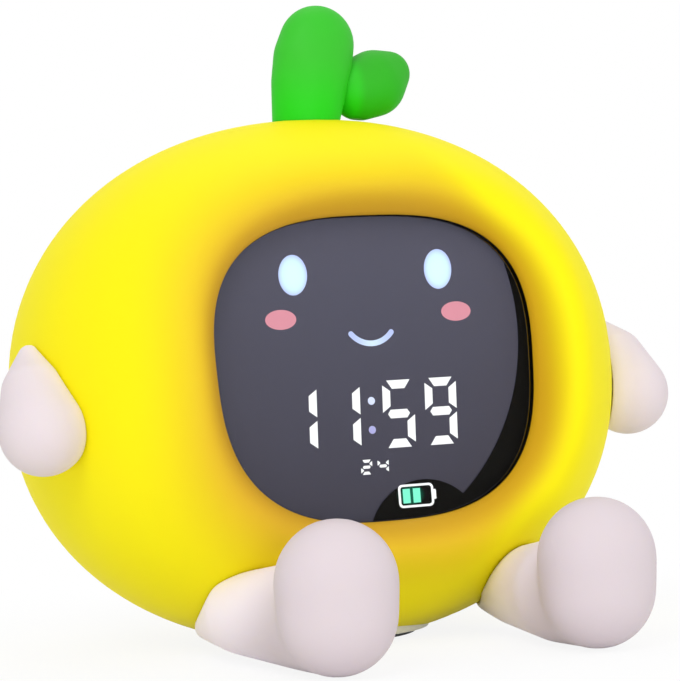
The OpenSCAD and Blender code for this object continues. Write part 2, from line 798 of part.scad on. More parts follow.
// ---- Hard core ---------------------------------------------------------------
module core_bowl() bowl(core_out, core_in, -0.5, -core_rim, core_sectors, 10, 4);
module shell_screw_places() {
    for (x = [-1, 1]) for (z = [-1, 1])
        translate([x * shell_screw_at.x, -seam_front, middle_z + z * shell_screw_at.y])
            rotate([90, 0, 0]) children();
}
module holder_screw_places() {
    in_display() for (side = [-1, 1]) for (v = [-1, 1])
        translate([side * (display_w / 2 + ear_grow), v * ear_up, 0]) children();
}
// Ribs that tie the seam's bosses to the core's wall, between two places along Y
module seam_ribs(front, back) {
    intersection() {
        plain_body(-core_out - 0.4);
        mirrored() for (z = [-1, 1])
            translate([shell_screw_at.x, front, middle_z + z * shell_screw_at.y - rib_t / 2])
                cube([half_w - shell_screw_at.x, back - front, rib_t]);
    }
}
module front_shell() {
    color(shell_white) difference() {
        union() {
            intersection() {
                core_bowl();
                translate([-body_w, -2 * body_d - seam_front, 0])
                    cube([2 * body_w, 2 * body_d, 4 * body_top]);
            }
            seam_ribs(-seam_front - front_boss_long, -seam_front);
            shell_screw_places() cylinder(h = front_boss_long, r = boss_r, $fn = 32);
            holder_screw_places() translate([0, 0, layer_gap - core_rim])
                cylinder(h = core_rim + 1.5, r = ear_r, $fn = 32);
        }
        shell_screw_places() translate([0, 0, -1])
            cylinder(h = front_boss_long + 2, r = shell_screw_r + screw_gap, $fn = 24);
        // room for the screws' heads in the wall
        shell_screw_places() translate([0, 0, front_boss_long])
            cylinder(h = head_t + hard_gap, r = shell_screw_r * head_share + hard_gap, $fn = 32);
        holder_screw_places() translate([0, 0, -core_rim - 1])
            cylinder(h = screw_long, r = screw_r + screw_gap, $fn = 24);
    }
}
module cover_screw_places(y) {
    for (x = [-1, 1]) for (z = [-1, 1])
        on_back(y) translate([x * cover_screw_at.x, z * cover_screw_at.y, 0]) children();
}
module base_screw_places(up) {
    for (i = [0:3]) rotate([0, 0, i * 90]) translate([base_boss_at, 0, up]) children();
}
module cradle_foot_places(up) {
    for (side = [-1, 1]) translate([side * cradle_foot_at, cell_y, middle_z + up]) children();
}
module rear_shell() {
    color(shell_white) difference() {
        union() {
            intersection() {
                core_bowl();
                translate([-body_w, -seam_front, middle_z + core_floor])
                    cube([2 * body_w, seam_front + core_back, 4 * body_top]);
            }
            seam_ribs(-seam_front, -seam_front + rear_boss_long / 2);
            shell_screw_places() translate([0, 0, -rear_boss_long])
                cylinder(h = rear_boss_long, r = boss_r, $fn = 32);
            cover_screw_places(core_back) translate([0, 0, -cover_boss_long])
                cylinder(h = cover_boss_long, r = cover_boss_r, $fn = 32);
            base_screw_places(middle_z + core_floor) cylinder(h = base_boss_h, r = base_boss_r, $fn = 32);
            cradle_foot_places(core_floor + 0.6)
                cylinder(h = cradle_foot_up - core_floor - 0.6, r = cradle_foot_r, $fn = 40);
            at_sprout(guide_top) cylinder(h = guide_seat_h, r = guide_flange_r, $fn = 64);
        }
        at_sprout(guide_top - 1) cylinder(h = 10, r = plunger_head_r + soft_gap, $fn = 48);
        shell_screw_places() translate([0, 0, 1 - rear_boss_long])
            cylinder(h = rear_boss_long, r = shell_screw_r + screw_gap, $fn = 24);
        cover_screw_places(core_back) translate([0, 0, 1 - cover_boss_long])
            cylinder(h = cover_boss_long, r = screw_r + screw_gap, $fn = 24);
        base_screw_places(middle_z + core_floor - 1)
            cylinder(h = base_boss_h - 1, r = screw_r + screw_gap, $fn = 24);
        cradle_foot_places(cradle_foot_up - screw_long)
            cylinder(h = screw_long + 1, r = screw_r + screw_gap, $fn = 24);
        guide_screw_places() translate([0, 0, guide_flange_t - 0.1])
            cylinder(h = 1.8, r = screw_r + screw_gap, $fn = 24);
        // room for the main board and for the keys' flanges over their travel
        slab(core_back + 1, board_front - board_t - hard_gap) board_outline(soft_gap);
        for (i = key_places) on_back(cover_back - layer_gap - key_flange_t - key_travel - hard_gap)
            translate([i * key_pitch, key_up, 0]) cylinder(h = 10, r = key_flange_r + soft_gap, $fn = 48);
    }
}

// ---- Lights on the display: outlines in its plane -----------------------------
// Bars of the numbers 0 to 9: top, upper right, lower right, bottom, lower left, upper left, middle
number_bars = [[1, 1, 1, 1, 1, 1, 0], [0, 1, 1, 0, 0, 0, 0], [1, 1, 0, 1, 1, 0, 1], [1, 1, 1, 1, 0, 0, 1],
    [0, 1, 1, 0, 0, 1, 1], [1, 0, 1, 1, 0, 1, 1], [1, 0, 1, 1, 1, 1, 1], [1, 1, 1, 0, 0, 0, 0],
    [1, 1, 1, 1, 1, 1, 1], [1, 1, 1, 1, 0, 1, 1]];
function slanted(p) = [p.x + p.y * tan(digit_slant), p.y];
// Middle of each bar, in a digit w wide and h high with bars b wide
function bar_middle(k, w, h, b) = let (x = (w - b) / 2, y = (h - b) / 2)
    [[0, y], [x, y / 2], [x, -y / 2], [0, -y], [-x, -y / 2], [-x, y / 2], [0, 0]][k];
// A bar with sloping ends whose outer edge runs along y = 0 from one place to another
function mitred(from, to, b, grow) =
    let (reach = grow * norm([1, bar_slope]), deep = b + grow)
    [[from - reach - bar_slope * grow, grow], [to + reach + bar_slope * grow, grow],
        [to + reach - bar_slope * deep, -deep], [from - reach + bar_slope * deep, -deep]];
// The middle bar, with a point at each end
function pointed(w, b, grow) =
    let (tip = w / 2 - bar_tip * b + grow * norm([1, bar_slope]), side = b / 2 + grow)
    [[tip, 0], [tip - bar_slope * side, side], [bar_slope * side - tip, side],
        [-tip, 0], [bar_slope * side - tip, -side], [tip - bar_slope * side, -side]];
// A bar's outline, drawn for the upper right of the digit
function bar_outline(k, w, h, b, grow) =
    k == 6 ? pointed(w, b, grow)
    : k % 3 == 0
    ? [for (p = mitred(bar_corner * b - w / 2, w / 2 - bar_corner * b, b, grow)) [p.x, h / 2 + p.y]]
    : [for (p = mitred(bar_gap * b, h / 2 - bar_corner * b, b, grow)) [w / 2 + p.y, p.x]];
module bar(k, w, h, b, grow) {
    side = bar_side[k];
    polygon([for (p = bar_outline(k, w, h, b, grow)) slanted([p.x * side.x, p.y * side.y])]);
}
module number(n, w, h, b, grow, lit = 1) {
    for (k = [0:6]) if (number_bars[n][k] == lit) bar(k, w, h, b, grow);
}
function digit_middle(i) =
    [time_side + (i - 1.5) * digit_pitch + (i < 2 ? -colon_room / 2 : colon_room / 2), -time_down];
module time_shape(grow, lit) {
    for (i = [0:3]) translate(digit_middle(i)) number(shown_time[i], digit_w, digit_h, bar_w, grow, lit);
}
module colon_shape(grow) {
    for (v = [-1, 1]) translate([time_side, -time_down] + slanted([0, v * colon_spread]))
        circle(colon_r + grow, $fn = 32);
}
module day_shape(grow) {
    for (i = [0, 1]) translate(small_at + [(i - 0.5) * small_pitch, 0])
        number(shown_day[i], small_w, small_h, small_bar, grow);
}
module eye_shape(grow) {
    for (side = [-1, 1]) translate([face_side + side * eye_gap / 2, eye_up])
        rotate(-eye_tilt) oval(eye_w + 2 * grow, eye_h + 2 * grow, 48);
}
module cheek_shape(grow) {
    for (side = [-1, 1]) translate([face_side + side * cheek_gap / 2, cheek_up])
        oval(cheek_w + 2 * grow, cheek_h + 2 * grow, 40);
}
// Points on an arc about a centre, without its two end points where trim is 1
function arc_points(centre, r, from, to, trim = 0) =
    [for (i = [trim:smile_steps - trim]) let (a = from + (to - from) * i / smile_steps)
        centre + r * [cos(a), sin(a)]];
// A thick arc whose ends are round
module smile_shape(grow) {
    wide = smile_line / 2 + grow;
    left = -90 - smile_half;
    right = -90 + smile_half;
    translate([face_side, smile_up + smile_r]) polygon(concat(
        arc_points([0, 0], smile_r + wide, left, right),
        arc_points(smile_r * [cos(right), sin(right)], wide, right, right + 180, 1),
        arc_points([0, 0], smile_r - wide, right, left),
        arc_points(smile_r * [cos(left), sin(left)], wide, left + 180, left + 360, 1)));
}
module sign_shape(grow) {
    inner = [sign_w, sign_h] - 2 * (sign_line + grow) * [1, 1];
    translate(sign_at) {
        difference() {
            round_box(sign_w + 2 * grow, sign_h + 2 * grow, 1);
            round_box(inner.x, inner.y, 0.5);
            // bridges that hold the film and the panel inside the sign
            square([sign_bridge - 2 * grow, 2 * sign_h], center = true);
        }
        translate([sign_w / 2 + grow - 0.1, -sign_nub.y / 2 - grow])
            square([sign_nub.x + 0.1, sign_nub.y + 2 * grow]);
    }
}
module sign_bars_shape(grow) {
    for (i = [0, 1]) translate(sign_at + [sign_bar_in - sign_w / 2 + i * sign_bar_pitch, 0])
        square(sign_bar + 2 * [grow, grow], center = true);
}
module face_shapes(grow) {
    eye_shape(grow);
    cheek_shape(grow);
    smile_shape(grow);
    colon_shape(grow);
    time_shape(grow, 0);
    time_shape(grow, 1);
}
// Outlines of the windows through the panel
module panel_windows(grow) {
    face_shapes(grow);
    day_shape(grow);
    sign_shape(grow);
    sign_bars_shape(grow);
}

// ---- Display stack -------------------------------------------------------------
lit_white = [0.97, 1, 1];
eye_blue = [0.78, 0.92, 1];
cheek_pink = [0.85, 0.53, 0.61];
smile_blue = [0.75, 0.8, 0.98];
mint = [0.43, 0.96, 0.8];
black = [0.08, 0.07, 0.06];
module smoked_lens() color([0.2, 0.2, 0.23, 0.5]) layer(0, lens_t) display_shape(lens_grow);
module mask_film() {
    color(black) layer(film_top, film_top + film_t) difference() {
        display_shape(film_grow);
        // the part of the display that stays clear
        difference() {
            translate(clear_at) circle(clear_r, $fn = 120);
            translate(patch_at) circle(patch_r, $fn = 72);
        }
        sign_shape(layer_gap);
        sign_bars_shape(layer_gap);
    }
}
module screen_panel() {
    color([0.3, 0.29, 0.34]) layer(panel_top, panel_top + panel_t) difference() {
        display_shape(panel_grow);
        panel_windows(layer_gap);
    }
}
module window() layer(panel_top, panel_top + panel_t) children();
module eye_lights() color(eye_blue) window() eye_shape(0);
module cheek_lights() color(cheek_pink) window() cheek_shape(0);
module smile_light() color(smile_blue) window() smile_shape(0);
module time_lights() color(lit_white) window() time_shape(0, 1);
module unlit_bars() color([0.25, 0.25, 0.28]) window() time_shape(0, 0);
module colon_lights() color(lit_white) window() colon_shape(0);
module day_lights() color(lit_white) window() day_shape(0);
module battery_sign() color(lit_white) layer(film_top, panel_top + panel_t) sign_shape(0);
module battery_bars() color(mint) layer(film_top, panel_top + panel_t) sign_bars_shape(0);
module light_block() {
    color([0.9, 0.9, 0.9]) layer(block_top, block_top + block_t) difference() {
        display_shape(block_grow);
        face_shapes(0);
        translate(small_at) square([small_pitch + small_w + 1, small_h + 1], center = true);
        translate(sign_at) square([sign_w + 2.4, sign_h + 0.8], center = true);
    }
}
module board_post_places() {
    in_display() for (a = [35, 145, 215, 325]) translate(outline(a, board_post_grow)) children();
}
module display_holder() {
    flange_low = flange_top + flange_t;
    color(black) difference() {
        union() {
            layer(skin_rim + hard_gap, flange_top) display_shape(holder_grow);
            layer(flange_top, flange_low) display_shape(flange_grow);
            holder_screw_places() translate([0, 0, -flange_low]) cylinder(h = flange_t, r = ear_r, $fn = 32);
            in_display() for (side = [-1, 1]) for (v = [-1, 1])
                translate([side * (display_w / 2 + ear_grow / 2) - ear_grow / 2, v * ear_up - ear_r, 0])
                    translate([0, 0, -flange_low]) cube([ear_grow, 2 * ear_r, flange_t]);
            board_post_places() translate([0, 0, -display_board_top])
                cylinder(h = display_board_top - flange_top, r = holder_post_r, $fn = 32);
        }
        layer(film_top, block_top) display_shape(panel_grow + panel_room);
        layer(film_top, display_board_top + 1) display_shape(block_grow + block_room);
        holder_screw_places() translate([0, 0, -flange_low - 1])
            cylinder(h = flange_t + 2, r = screw_r + screw_gap, $fn = 24);
        board_post_places() translate([0, 0, -display_board_top - 1])
            cylinder(h = screw_long, r = screw_r + screw_gap, $fn = 24);
    }
}
module display_board() {
    color(board_green) difference() {
        layer(display_board_top, display_board_top + board_t) display_shape(display_board_grow);
        board_post_places() translate([0, 0, -display_board_top - board_t - 1])
            cylinder(h = board_t + 2, r = screw_r + screw_gap, $fn = 24);
    }
}
module led_at(p) translate([p.x - led_size.x / 2, p.y - led_size.y / 2, -display_board_top]) cube(led_size);
module display_leds() {
    color([0.95, 0.93, 0.75]) in_display() {
        for (i = [0:3]) for (k = [0:6])
            led_at(digit_middle(i) + slanted(bar_middle(k, digit_w, digit_h, bar_w)));
        for (v = [-1, 1]) led_at([time_side, -time_down] + slanted([0, v * colon_spread]));
        for (side = [-1, 1]) led_at([face_side + side * eye_gap / 2, eye_up]);
        for (side = [-1, 1]) led_at([face_side + side * cheek_gap / 2, cheek_up]);
        led_at([face_side, smile_up]);
        led_at(small_at);
        led_at(sign_at);
    }
}

// ---- Back ----------------------------------------------------------------------
module standoff_places(y) {
    for (side = [-1, 1]) on_back(y) {
        translate([side * standoff_top.x, standoff_top.y, 0]) children();
        translate([side * standoff_low.x, standoff_low.y, 0]) children();
    }
}
module rear_cover() {
    color(yellow) difference() {
        union() {
            slab(cover_face, cover_back) oval(cover_w, cover_h);
            standoff_places(board_front) cylinder(h = board_gap + 0.1, r = standoff_r, $fn = 32);
            slab(cover_back + 0.1, cover_back - 2) translate([0, -speaker_down]) difference() {
                circle(speaker_r + 1.3, $fn = 72);
                circle(speaker_r + hard_gap, $fn = 72);
            }
        }
        for (i = key_places) on_back(cover_back - 1) translate([i * key_pitch, key_up, 0])
            cylinder(h = cover_t + 2, r = key_r + slide_gap, $fn = 48);
        // slot for the slide knob
        slab(cover_face + 1, cover_back - 1) translate(slide_at)
            square([knob_size.x + slide_travel + 2 * hard_gap, knob_size.y + 2 * slide_gap], center = true);
        on_back(cover_back - 1) translate([reset_at.x, reset_at.y, 0])
            cylinder(h = cover_t + 2, r = reset_r, $fn = 24);
        slab(cover_face + 1, cover_back - 1) translate([0, -usb_down])
            round_box(usb_size.x + 2 * usb_gap, usb_size.y + 2 * usb_gap, 1.4);
        // grille
        on_back(cover_back - 1) translate([0, -speaker_down, 0]) {
            cylinder(h = cover_t + 2, r = grille_r, $fn = 20);
            for (ring = [1:floor((speaker_r - 2) / grille_pitch)]) for (i = [0:6 * ring - 1])
                rotate([0, 0, i * 60 / ring]) translate([ring * grille_pitch, 0, 0])
                    cylinder(h = cover_t + 2, r = grille_r, $fn = 20);
        }
        cover_screw_places(cover_back - 1)
            cylinder(h = cover_t + 2, r = screw_r + screw_gap, $fn = 24);
        cover_screw_places(cover_face - recess_t) cylinder(h = recess_t + 1, r = recess_r, $fn = 32);
        standoff_places(board_front - 1) cylinder(h = screw_long, r = screw_r + screw_gap, $fn = 24);
    }
}
module key(i) {
    flange_back = cover_back - layer_gap;
    color(limb_pink) on_back(0) translate([i * key_pitch, key_up, 0]) {
        translate([0, 0, flange_back - 0.01])
            cylinder(h = cover_face + key_proud - flange_back + 0.01, r = key_r, $fn = 48);
        translate([0, 0, flange_back - key_flange_t]) cylinder(h = key_flange_t, r = key_flange_r, $fn = 48);
        translate([0, 0, board_front + switch_h - stem_in_well])
            cylinder(h = flange_back - board_front - switch_h + stem_in_well - 0.5, r = key_stem_r, $fn = 32);
    }
}
module mode_key() key(-2);
module down_key() key(-1);
module set_key() key(0);
module up_key() key(1);
module light_key() key(2);
module key_switches() {
    color(black) for (i = key_places) difference() {
        slab(board_front + switch_h, board_front) translate([i * key_pitch, key_up])
            square([switch_size, switch_size], center = true);
        on_back(board_front + switch_h - well_deep) translate([i * key_pitch, key_up, 0])
            cylinder(h = well_deep + 1, r = well_r, $fn = 32);
    }
}
module slide_knob() {
    plate_back = cover_back - layer_gap;
    color(limb_pink) {
        slab(cover_face + 1, plate_back - 0.5) translate(slide_at) square(knob_size, center = true);
        slab(plate_back, plate_back - 1) translate(slide_at)
            square(knob_plate + [slide_travel, 0], center = true);
        slab(plate_back - 0.5, board_front + slide_h - 1) translate(slide_at)
            square([1.6, 1.6], center = true);
    }
}
module slide_switch() {
    color(steel) difference() {
        slab(board_front + slide_h, board_front) translate(slide_at) square(slide_box, center = true);
        slab(board_front + slide_h + 1, board_front + slide_h - 1.5) translate(slide_at)
            square([slide_travel + 3, 2.4], center = true);
    }
}
module board_outline(grow) {
    wide = (len(key_places) - 1) * key_pitch + switch_size + board_edge;
    square([wide, board_h] + 2 * grow * [1, 1], center = true);
    square(board_tab + 2 * grow * [1, 1], center = true);
}
module main_board() {
    color(board_green) difference() {
        slab(board_front, board_front - board_t) board_outline(0);
        standoff_places(board_front - board_t - 1)
            cylinder(h = board_t + 2, r = screw_r + screw_gap, $fn = 24);
    }
}
module usb_socket() {
    usb_back = cover_face - usb_sink;
    color(steel) {
        difference() {
            slab(usb_back, board_front) translate([0, -usb_down]) round_box(usb_size.x, usb_size.y, 1.3);
            slab(usb_back + 1, usb_back - 6.2) translate([0, -usb_down])
                round_box(usb_size.x - 2 * usb_wall, usb_size.y - 2 * usb_wall, 1);
        }
        slab(usb_back - 0.8, usb_back - 6.3) translate([0, -usb_down]) square([6.6, 0.7], center = true);
    }
}
module speaker_ring(outer, inner) {
    translate([0, -speaker_down]) difference() {
        circle(outer, $fn = 72);
        circle(inner, $fn = 72);
    }
}
module speaker_frame() {
    color(steel) {
        slab(cover_back, cover_back - speaker_frame_t) speaker_ring(speaker_r, speaker_r - 0.9);
        slab(cover_back - speaker_frame_t + 0.8, cover_back - speaker_frame_t)
            speaker_ring(speaker_r - 0.5, 3);
    }
}
module speaker_cone() {
    edge = speaker_r - 0.9;
    section = [[0, -2], [3, -2], [edge - 1.5, 0], [edge, 0], [edge, -0.4], [edge - 1.4, -0.4],
        [3, -2.4], [0, -2.4]];
    color([0.2, 0.2, 0.22]) on_back(cover_back - 0.8) translate([0, -speaker_down, 0])
        rotate_extrude($fn = 64) polygon(section);
}
module speaker_magnet() {
    top = cover_back - speaker_frame_t;
    color([0.3, 0.3, 0.32]) slab(top, top - speaker_magnet_t) translate([0, -speaker_down])
        circle(speaker_r * 0.6, $fn = 64);
}
module board_chips() {
    low = board_front - board_t;
    color(black) {
        slab(low, low - 1) translate([8, 6]) square([7, 7], center = true);
        slab(low, low - 1.4) translate([-9, 5]) square([5, 6], center = true);
        slab(low, low - 1.2) translate([0, -8]) square([9, 4], center = true);
        slab(low, low - 3) translate([-15, -6]) circle(2.5, $fn = 32);
        slab(low, low - 3) translate([15, -7]) circle(2.5, $fn = 32);
        slab(low, low - 4) translate([0, 14]) square([10, 4.4], center = true);
    }
}

// ---- Cell and night light ---------------------------------------------------------
module battery_cell() {
    color([0.15, 0.45, 0.75]) translate([-cell_len / 2, cell_y, middle_z + cell_up]) rotate([0, 90, 0])
        cylinder(h = cell_len, r = cell_r, $fn = 64);
}
module light_post_places(up) {
    for (x = [-1, 1]) for (y = [-1, 1])
        translate([x * light_post_at.x, cell_y + y * light_post_at.y, middle_z + up]) children();
}
module cell_cradle() {
    color(shell_white) difference() {
        union() {
            translate([-cradle_long / 2, cell_y - cradle_wide / 2, middle_z + cradle_low])
                cube([cradle_long, cradle_wide, cradle_top - cradle_low]);
            cradle_foot_places(cradle_foot_up)
                cylinder(h = cradle_low - cradle_foot_up + 0.1, r = cradle_foot_r, $fn = 40);
            light_post_places(cradle_low) cylinder(h = light_up - cradle_low, r = post_r, $fn = 32);
        }
        translate([-cell_len / 2 - soft_gap, cell_y, middle_z + cell_up]) rotate([0, 90, 0])
            cylinder(h = cell_len + 2 * soft_gap, r = cell_r + soft_gap, $fn = 64);
        cradle_foot_places(cradle_foot_up - 1)
            cylinder(h = cradle_low - cradle_foot_up + cradle_floor + 2, r = screw_r + screw_gap, $fn = 24);
        cradle_foot_places(cradle_low + cradle_floor - recess_t)
            cylinder(h = recess_t + 1, r = recess_r, $fn = 32);
        light_post_places(light_up - screw_long)
            cylinder(h = screw_long + 1, r = screw_r + screw_gap, $fn = 24);
    }
}
module light_board() {
    color(board_green) difference() {
        translate([0, cell_y, middle_z + light_up]) cylinder(h = board_t, r = light_r, $fn = 72);
        light_post_places(light_up - 1) cylinder(h = board_t + 2, r = screw_r + screw_gap, $fn = 24);
    }
}
module night_leds() {
    color([0.98, 0.95, 0.6]) for (i = [0:5])
        translate([0, cell_y, middle_z + light_up + board_t]) rotate([0, 0, i * 60]) translate([6, 0, 0.4])
            cube([2.8, 2.8, 0.8], center = true);
}
module light_diffuser() {
    color([0.97, 0.97, 0.97, 0.8]) translate([0, cell_y, middle_z + light_up + board_t])
        rotate_extrude($fn = 64) intersection() {
            difference() {
                circle(diffuser_r, $fn = 64);
                circle(diffuser_r - diffuser_t, $fn = 64);
            }
            square(diffuser_r);
        }
}

// ---- Base ------------------------------------------------------------------------
module base_plate() {
    post_top = middle_z + core_floor;
    color(shell_white) difference() {
        union() {
            translate([0, 0, plate_z]) cylinder(h = base_t, r = base_r, $fn = 96);
            base_screw_places(plate_z) cylinder(h = post_top - plate_z, r = base_boss_r, $fn = 32);
        }
        base_screw_places(0) cylinder(h = post_top + 1, r = screw_r + screw_gap, $fn = 24);
        base_screw_places(0) cylinder(h = base_head_z, r = recess_r, $fn = 32);
        cylinder(h = plate_z + pad_seat, r = pad_r + hard_gap, $fn = 96);
    }
}
module base_pad() {
    color([0.25, 0.25, 0.25]) cylinder(h = plate_z + pad_seat, r = pad_r, $fn = 96);
}

// ---- Screws, each kind in one node ------------------------------------------------
module cover_screws() {
    color(steel) cover_screw_places(cover_face - recess_t) screw(screw_r, screw_long + 1);
}
module shell_screws() {
    color(steel) shell_screw_places() translate([0, 0, front_boss_long])
        screw(shell_screw_r, front_boss_long + rear_boss_long - 2);
}
module holder_screws() {
    color(steel) holder_screw_places() translate([0, 0, -flange_top - flange_t]) rotate([180, 0, 0])
        screw(screw_r, screw_long);
}
module board_screws() {
    color(steel) {
        board_post_places() translate([0, 0, -display_board_top - board_t]) rotate([180, 0, 0])
            screw(screw_r, screw_long);
        standoff_places(board_front - board_t) rotate([180, 0, 0]) screw(screw_r, screw_long - 0.3);
        light_post_places(light_up + board_t) screw(screw_r, screw_long);
        sprout_board_screw_places() rotate([180, 0, 0]) screw(screw_r, screw_long - 0.3);
    }
}
module cradle_screws() {
    color(steel) cradle_foot_places(cradle_low + cradle_floor - recess_t)
        screw(screw_r, cradle_low + cradle_floor - recess_t - cradle_foot_up + screw_long - 0.3);
}
module base_screws() {
    color(steel) base_screw_places(base_head_z) rotate([180, 0, 0]) screw(screw_r, base_screw_long);
}
module guide_screws() {
    color(steel) guide_screw_places() rotate([180, 0, 0]) screw(screw_r, guide_flange_t + 1.5);
}

body_skin();
left_arm();
right_arm();
left_leg();
right_leg();
big_leaf();
small_leaf();
sprout_plunger();
sprout_spring();
sprout_guide();
sprout_board();
sprout_switch();
front_shell();
rear_shell();
display_holder();
smoked_lens();
mask_film();
screen_panel();
eye_lights();
cheek_lights();
smile_light();
time_lights();
unlit_bars();
colon_lights();
day_lights();
battery_sign();
battery_bars();
light_block();
display_board();
display_leds();
rear_cover();
mode_key();
down_key();
set_key();
up_key();
light_key();
slide_knob();
slide_switch();
key_switches();
main_board();
usb_socket();
speaker_frame();
speaker_cone();
speaker_magnet();
board_chips();
battery_cell();
cell_cradle();
light_board();
night_leds();
light_diffuser();
base_plate();
base_pad();
cover_screws();
shell_screws();
holder_screws();
board_screws();
cradle_screws();
base_screws();
guide_screws();
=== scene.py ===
# %% [markdown]
# # Children's alarm clock: load the frame
# The imported model gives every solid of the clock at its real place, in metres. Everything added below is
# fitted to it.

# %% Load the frame
import bpy
import json
import math
import numpy as np
from mathutils import Matrix, Vector


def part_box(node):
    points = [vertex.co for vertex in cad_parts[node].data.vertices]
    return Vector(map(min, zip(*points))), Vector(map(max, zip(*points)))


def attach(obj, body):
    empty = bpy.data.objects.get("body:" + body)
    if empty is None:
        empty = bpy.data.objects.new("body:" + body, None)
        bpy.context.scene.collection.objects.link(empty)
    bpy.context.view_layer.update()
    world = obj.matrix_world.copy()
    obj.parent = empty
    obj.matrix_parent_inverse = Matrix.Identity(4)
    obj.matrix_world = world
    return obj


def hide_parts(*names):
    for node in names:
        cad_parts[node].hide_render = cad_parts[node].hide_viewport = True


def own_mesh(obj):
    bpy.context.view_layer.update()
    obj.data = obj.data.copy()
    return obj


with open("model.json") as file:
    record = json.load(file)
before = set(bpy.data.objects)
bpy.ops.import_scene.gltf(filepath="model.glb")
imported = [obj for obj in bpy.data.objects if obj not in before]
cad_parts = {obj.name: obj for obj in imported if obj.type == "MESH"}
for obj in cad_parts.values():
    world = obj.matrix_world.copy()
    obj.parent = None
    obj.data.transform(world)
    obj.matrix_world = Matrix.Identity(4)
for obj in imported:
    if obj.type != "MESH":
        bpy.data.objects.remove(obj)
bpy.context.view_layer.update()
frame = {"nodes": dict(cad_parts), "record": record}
MM = 0.001

# %% [markdown]
# # Sizes that several steps share
# The body is a rounded form: half its width and depth, its upper and lower half, the height of its
# middle, and a power that says how square it is. The display has its own outline and leans back a little.
# The skin rolls in towards it in a lip, and leaves an oval opening for the rear cover.

# %% Sizes of the clock
HALF_WIDE, HALF_DEEP = 65 * MM, 52.5 * MM
BODY_TOP, BODY_BOTTOM = 56 * MM, 54.4 * MM
MIDDLE = 53 * MM
SQUARE = 2.14
SHOW_WIDE, SHOW_TALL, SHOW_SQUARE, SHOW_FLARE = 71 * MM, 62 * MM, 2.8, 0.035
SHOW_FRONT, SHOW_UP = 32.4 * MM, 3.6 * MM
LEAN = math.radians(4.5)
SKIN = 3 * MM
LIP_WIDE, LIP_ROLL, LIP_SPLAY = 12 * MM, 8 * MM, math.radians(28)
COVER_WIDE, COVER_TALL = 66.8 * MM, 56.4 * MM
SOFT_GAP = 0.3 * MM
print("body", [round(v / MM, 1) for v in (2 * HALF_WIDE, 2 * HALF_DEEP, BODY_TOP + BODY_BOTTOM)], "mm")

# %% [markdown]
# # The view
# A long lens keeps the clock's lines nearly parallel. The camera looks from a little to the clock's left,
# nearly level, and is tilted a few degrees about its own axis. Its axes are written out, because a tilt
# about the line of sight is easier to read as two turned vectors than as angles.

# %% Camera
VIEW_AZIMUTH = math.radians(-25)
VIEW_ELEVATION = math.radians(0.7)
VIEW_TILT = math.radians(2.8)
VIEW_TARGET = Vector((6.65, 0, 62)) * MM
VIEW_DISTANCE = 597 * MM
FOCAL_PIXELS = 2800
PICTURE_WIDTH = 680
SENSOR_WIDTH = 36

side, rise = VIEW_AZIMUTH, VIEW_ELEVATION
back = Vector((math.sin(side) * math.cos(rise), -math.cos(side) * math.cos(rise), math.sin(rise)))
right = Vector((math.cos(side), math.sin(side), 0))
up = back.cross(right)
tilted_right = right * math.cos(VIEW_TILT) - up * math.sin(VIEW_TILT)
tilted_up = up * math.cos(VIEW_TILT) + right * math.sin(VIEW_TILT)

bpy.ops.object.camera_add()
camera = bpy.context.object
camera.name = "view"
axes = Matrix((tilted_right, tilted_up, back)).transposed().to_4x4()
camera.matrix_world = Matrix.Translation(VIEW_TARGET + back * VIEW_DISTANCE) @ axes
camera.data.sensor_fit = "HORIZONTAL"
camera.data.sensor_width = SENSOR_WIDTH
camera.data.lens = SENSOR_WIDTH * FOCAL_PIXELS / PICTURE_WIDTH
bpy.context.scene.camera = camera
print("camera at", [round(v, 3) for v in camera.location], "lens", round(camera.data.lens, 1))

# %% [markdown]
# # Helpers for finishes
# A finish is a small network of nodes that ends in one Principled shader. Colours are written as they
# show on a screen, so a helper turns them into the linear values that the shader wants. A few more do
# arithmetic with nodes, and the last one adds the two things that nearly every moulded surface has: a
# slight unevenness of gloss and a very fine grain.

# %% Finish helpers
CLOUD_SCALE = 45.0
GLOSS_SHIFT = 0.05
GRAIN_DEEP = 0.2 * MM
GLOW_REACH, GLOW_DEEP = (1.0, 0.6, 0.2), 3 * MM


def colour(r, g, b):
    """A colour as a screen shows it, 0 to 255, as linear values with an alpha of 1."""
    shown = (r / 255, g / 255, b / 255)
    linear = [v / 12.92 if v <= 0.04045 else ((v + 0.055) / 1.055) ** 2.4 for v in shown]
    return (*linear, 1)


def finish_named(name):
    """A new material with its nodes and its Principled shader."""
    material = bpy.data.materials.new(name)
    material.use_nodes = True
    nodes = material.node_tree.nodes
    return material, nodes, material.node_tree.links, nodes["Principled BSDF"]


def node(nodes, kind, **values):
    """A node with some of its sockets or properties set."""
    made = nodes.new(kind)
    for key, value in values.items():
        if key in made.inputs:
            made.inputs[key].default_value = value
        else:
            setattr(made, key, value)
    return made


def calc(nodes, links, kind, first, second=None):
    """One step of arithmetic in a material: each value is a number or a node's output."""
    made = node(nodes, "ShaderNodeMath", operation=kind)
    for socket, value in zip(made.inputs, (first, second)):
        if isinstance(value, bpy.types.NodeSocket):
            links.new(value, socket)
        elif value is not None:
            socket.default_value = value
    return made.outputs[0]


def ramp(nodes, links, value, low, high, start=0.0, end=1.0):
    """A value carried from one range to another and held at its ends."""
    made = node(nodes, "ShaderNodeMapRange", interpolation_type="SMOOTHSTEP")
    made.inputs["From Min"].default_value = low
    made.inputs["From Max"].default_value = high
    made.inputs["To Min"].default_value = start
    made.inputs["To Max"].default_value = end
    links.new(value, made.inputs["Value"])
    return made.outputs["Result"]


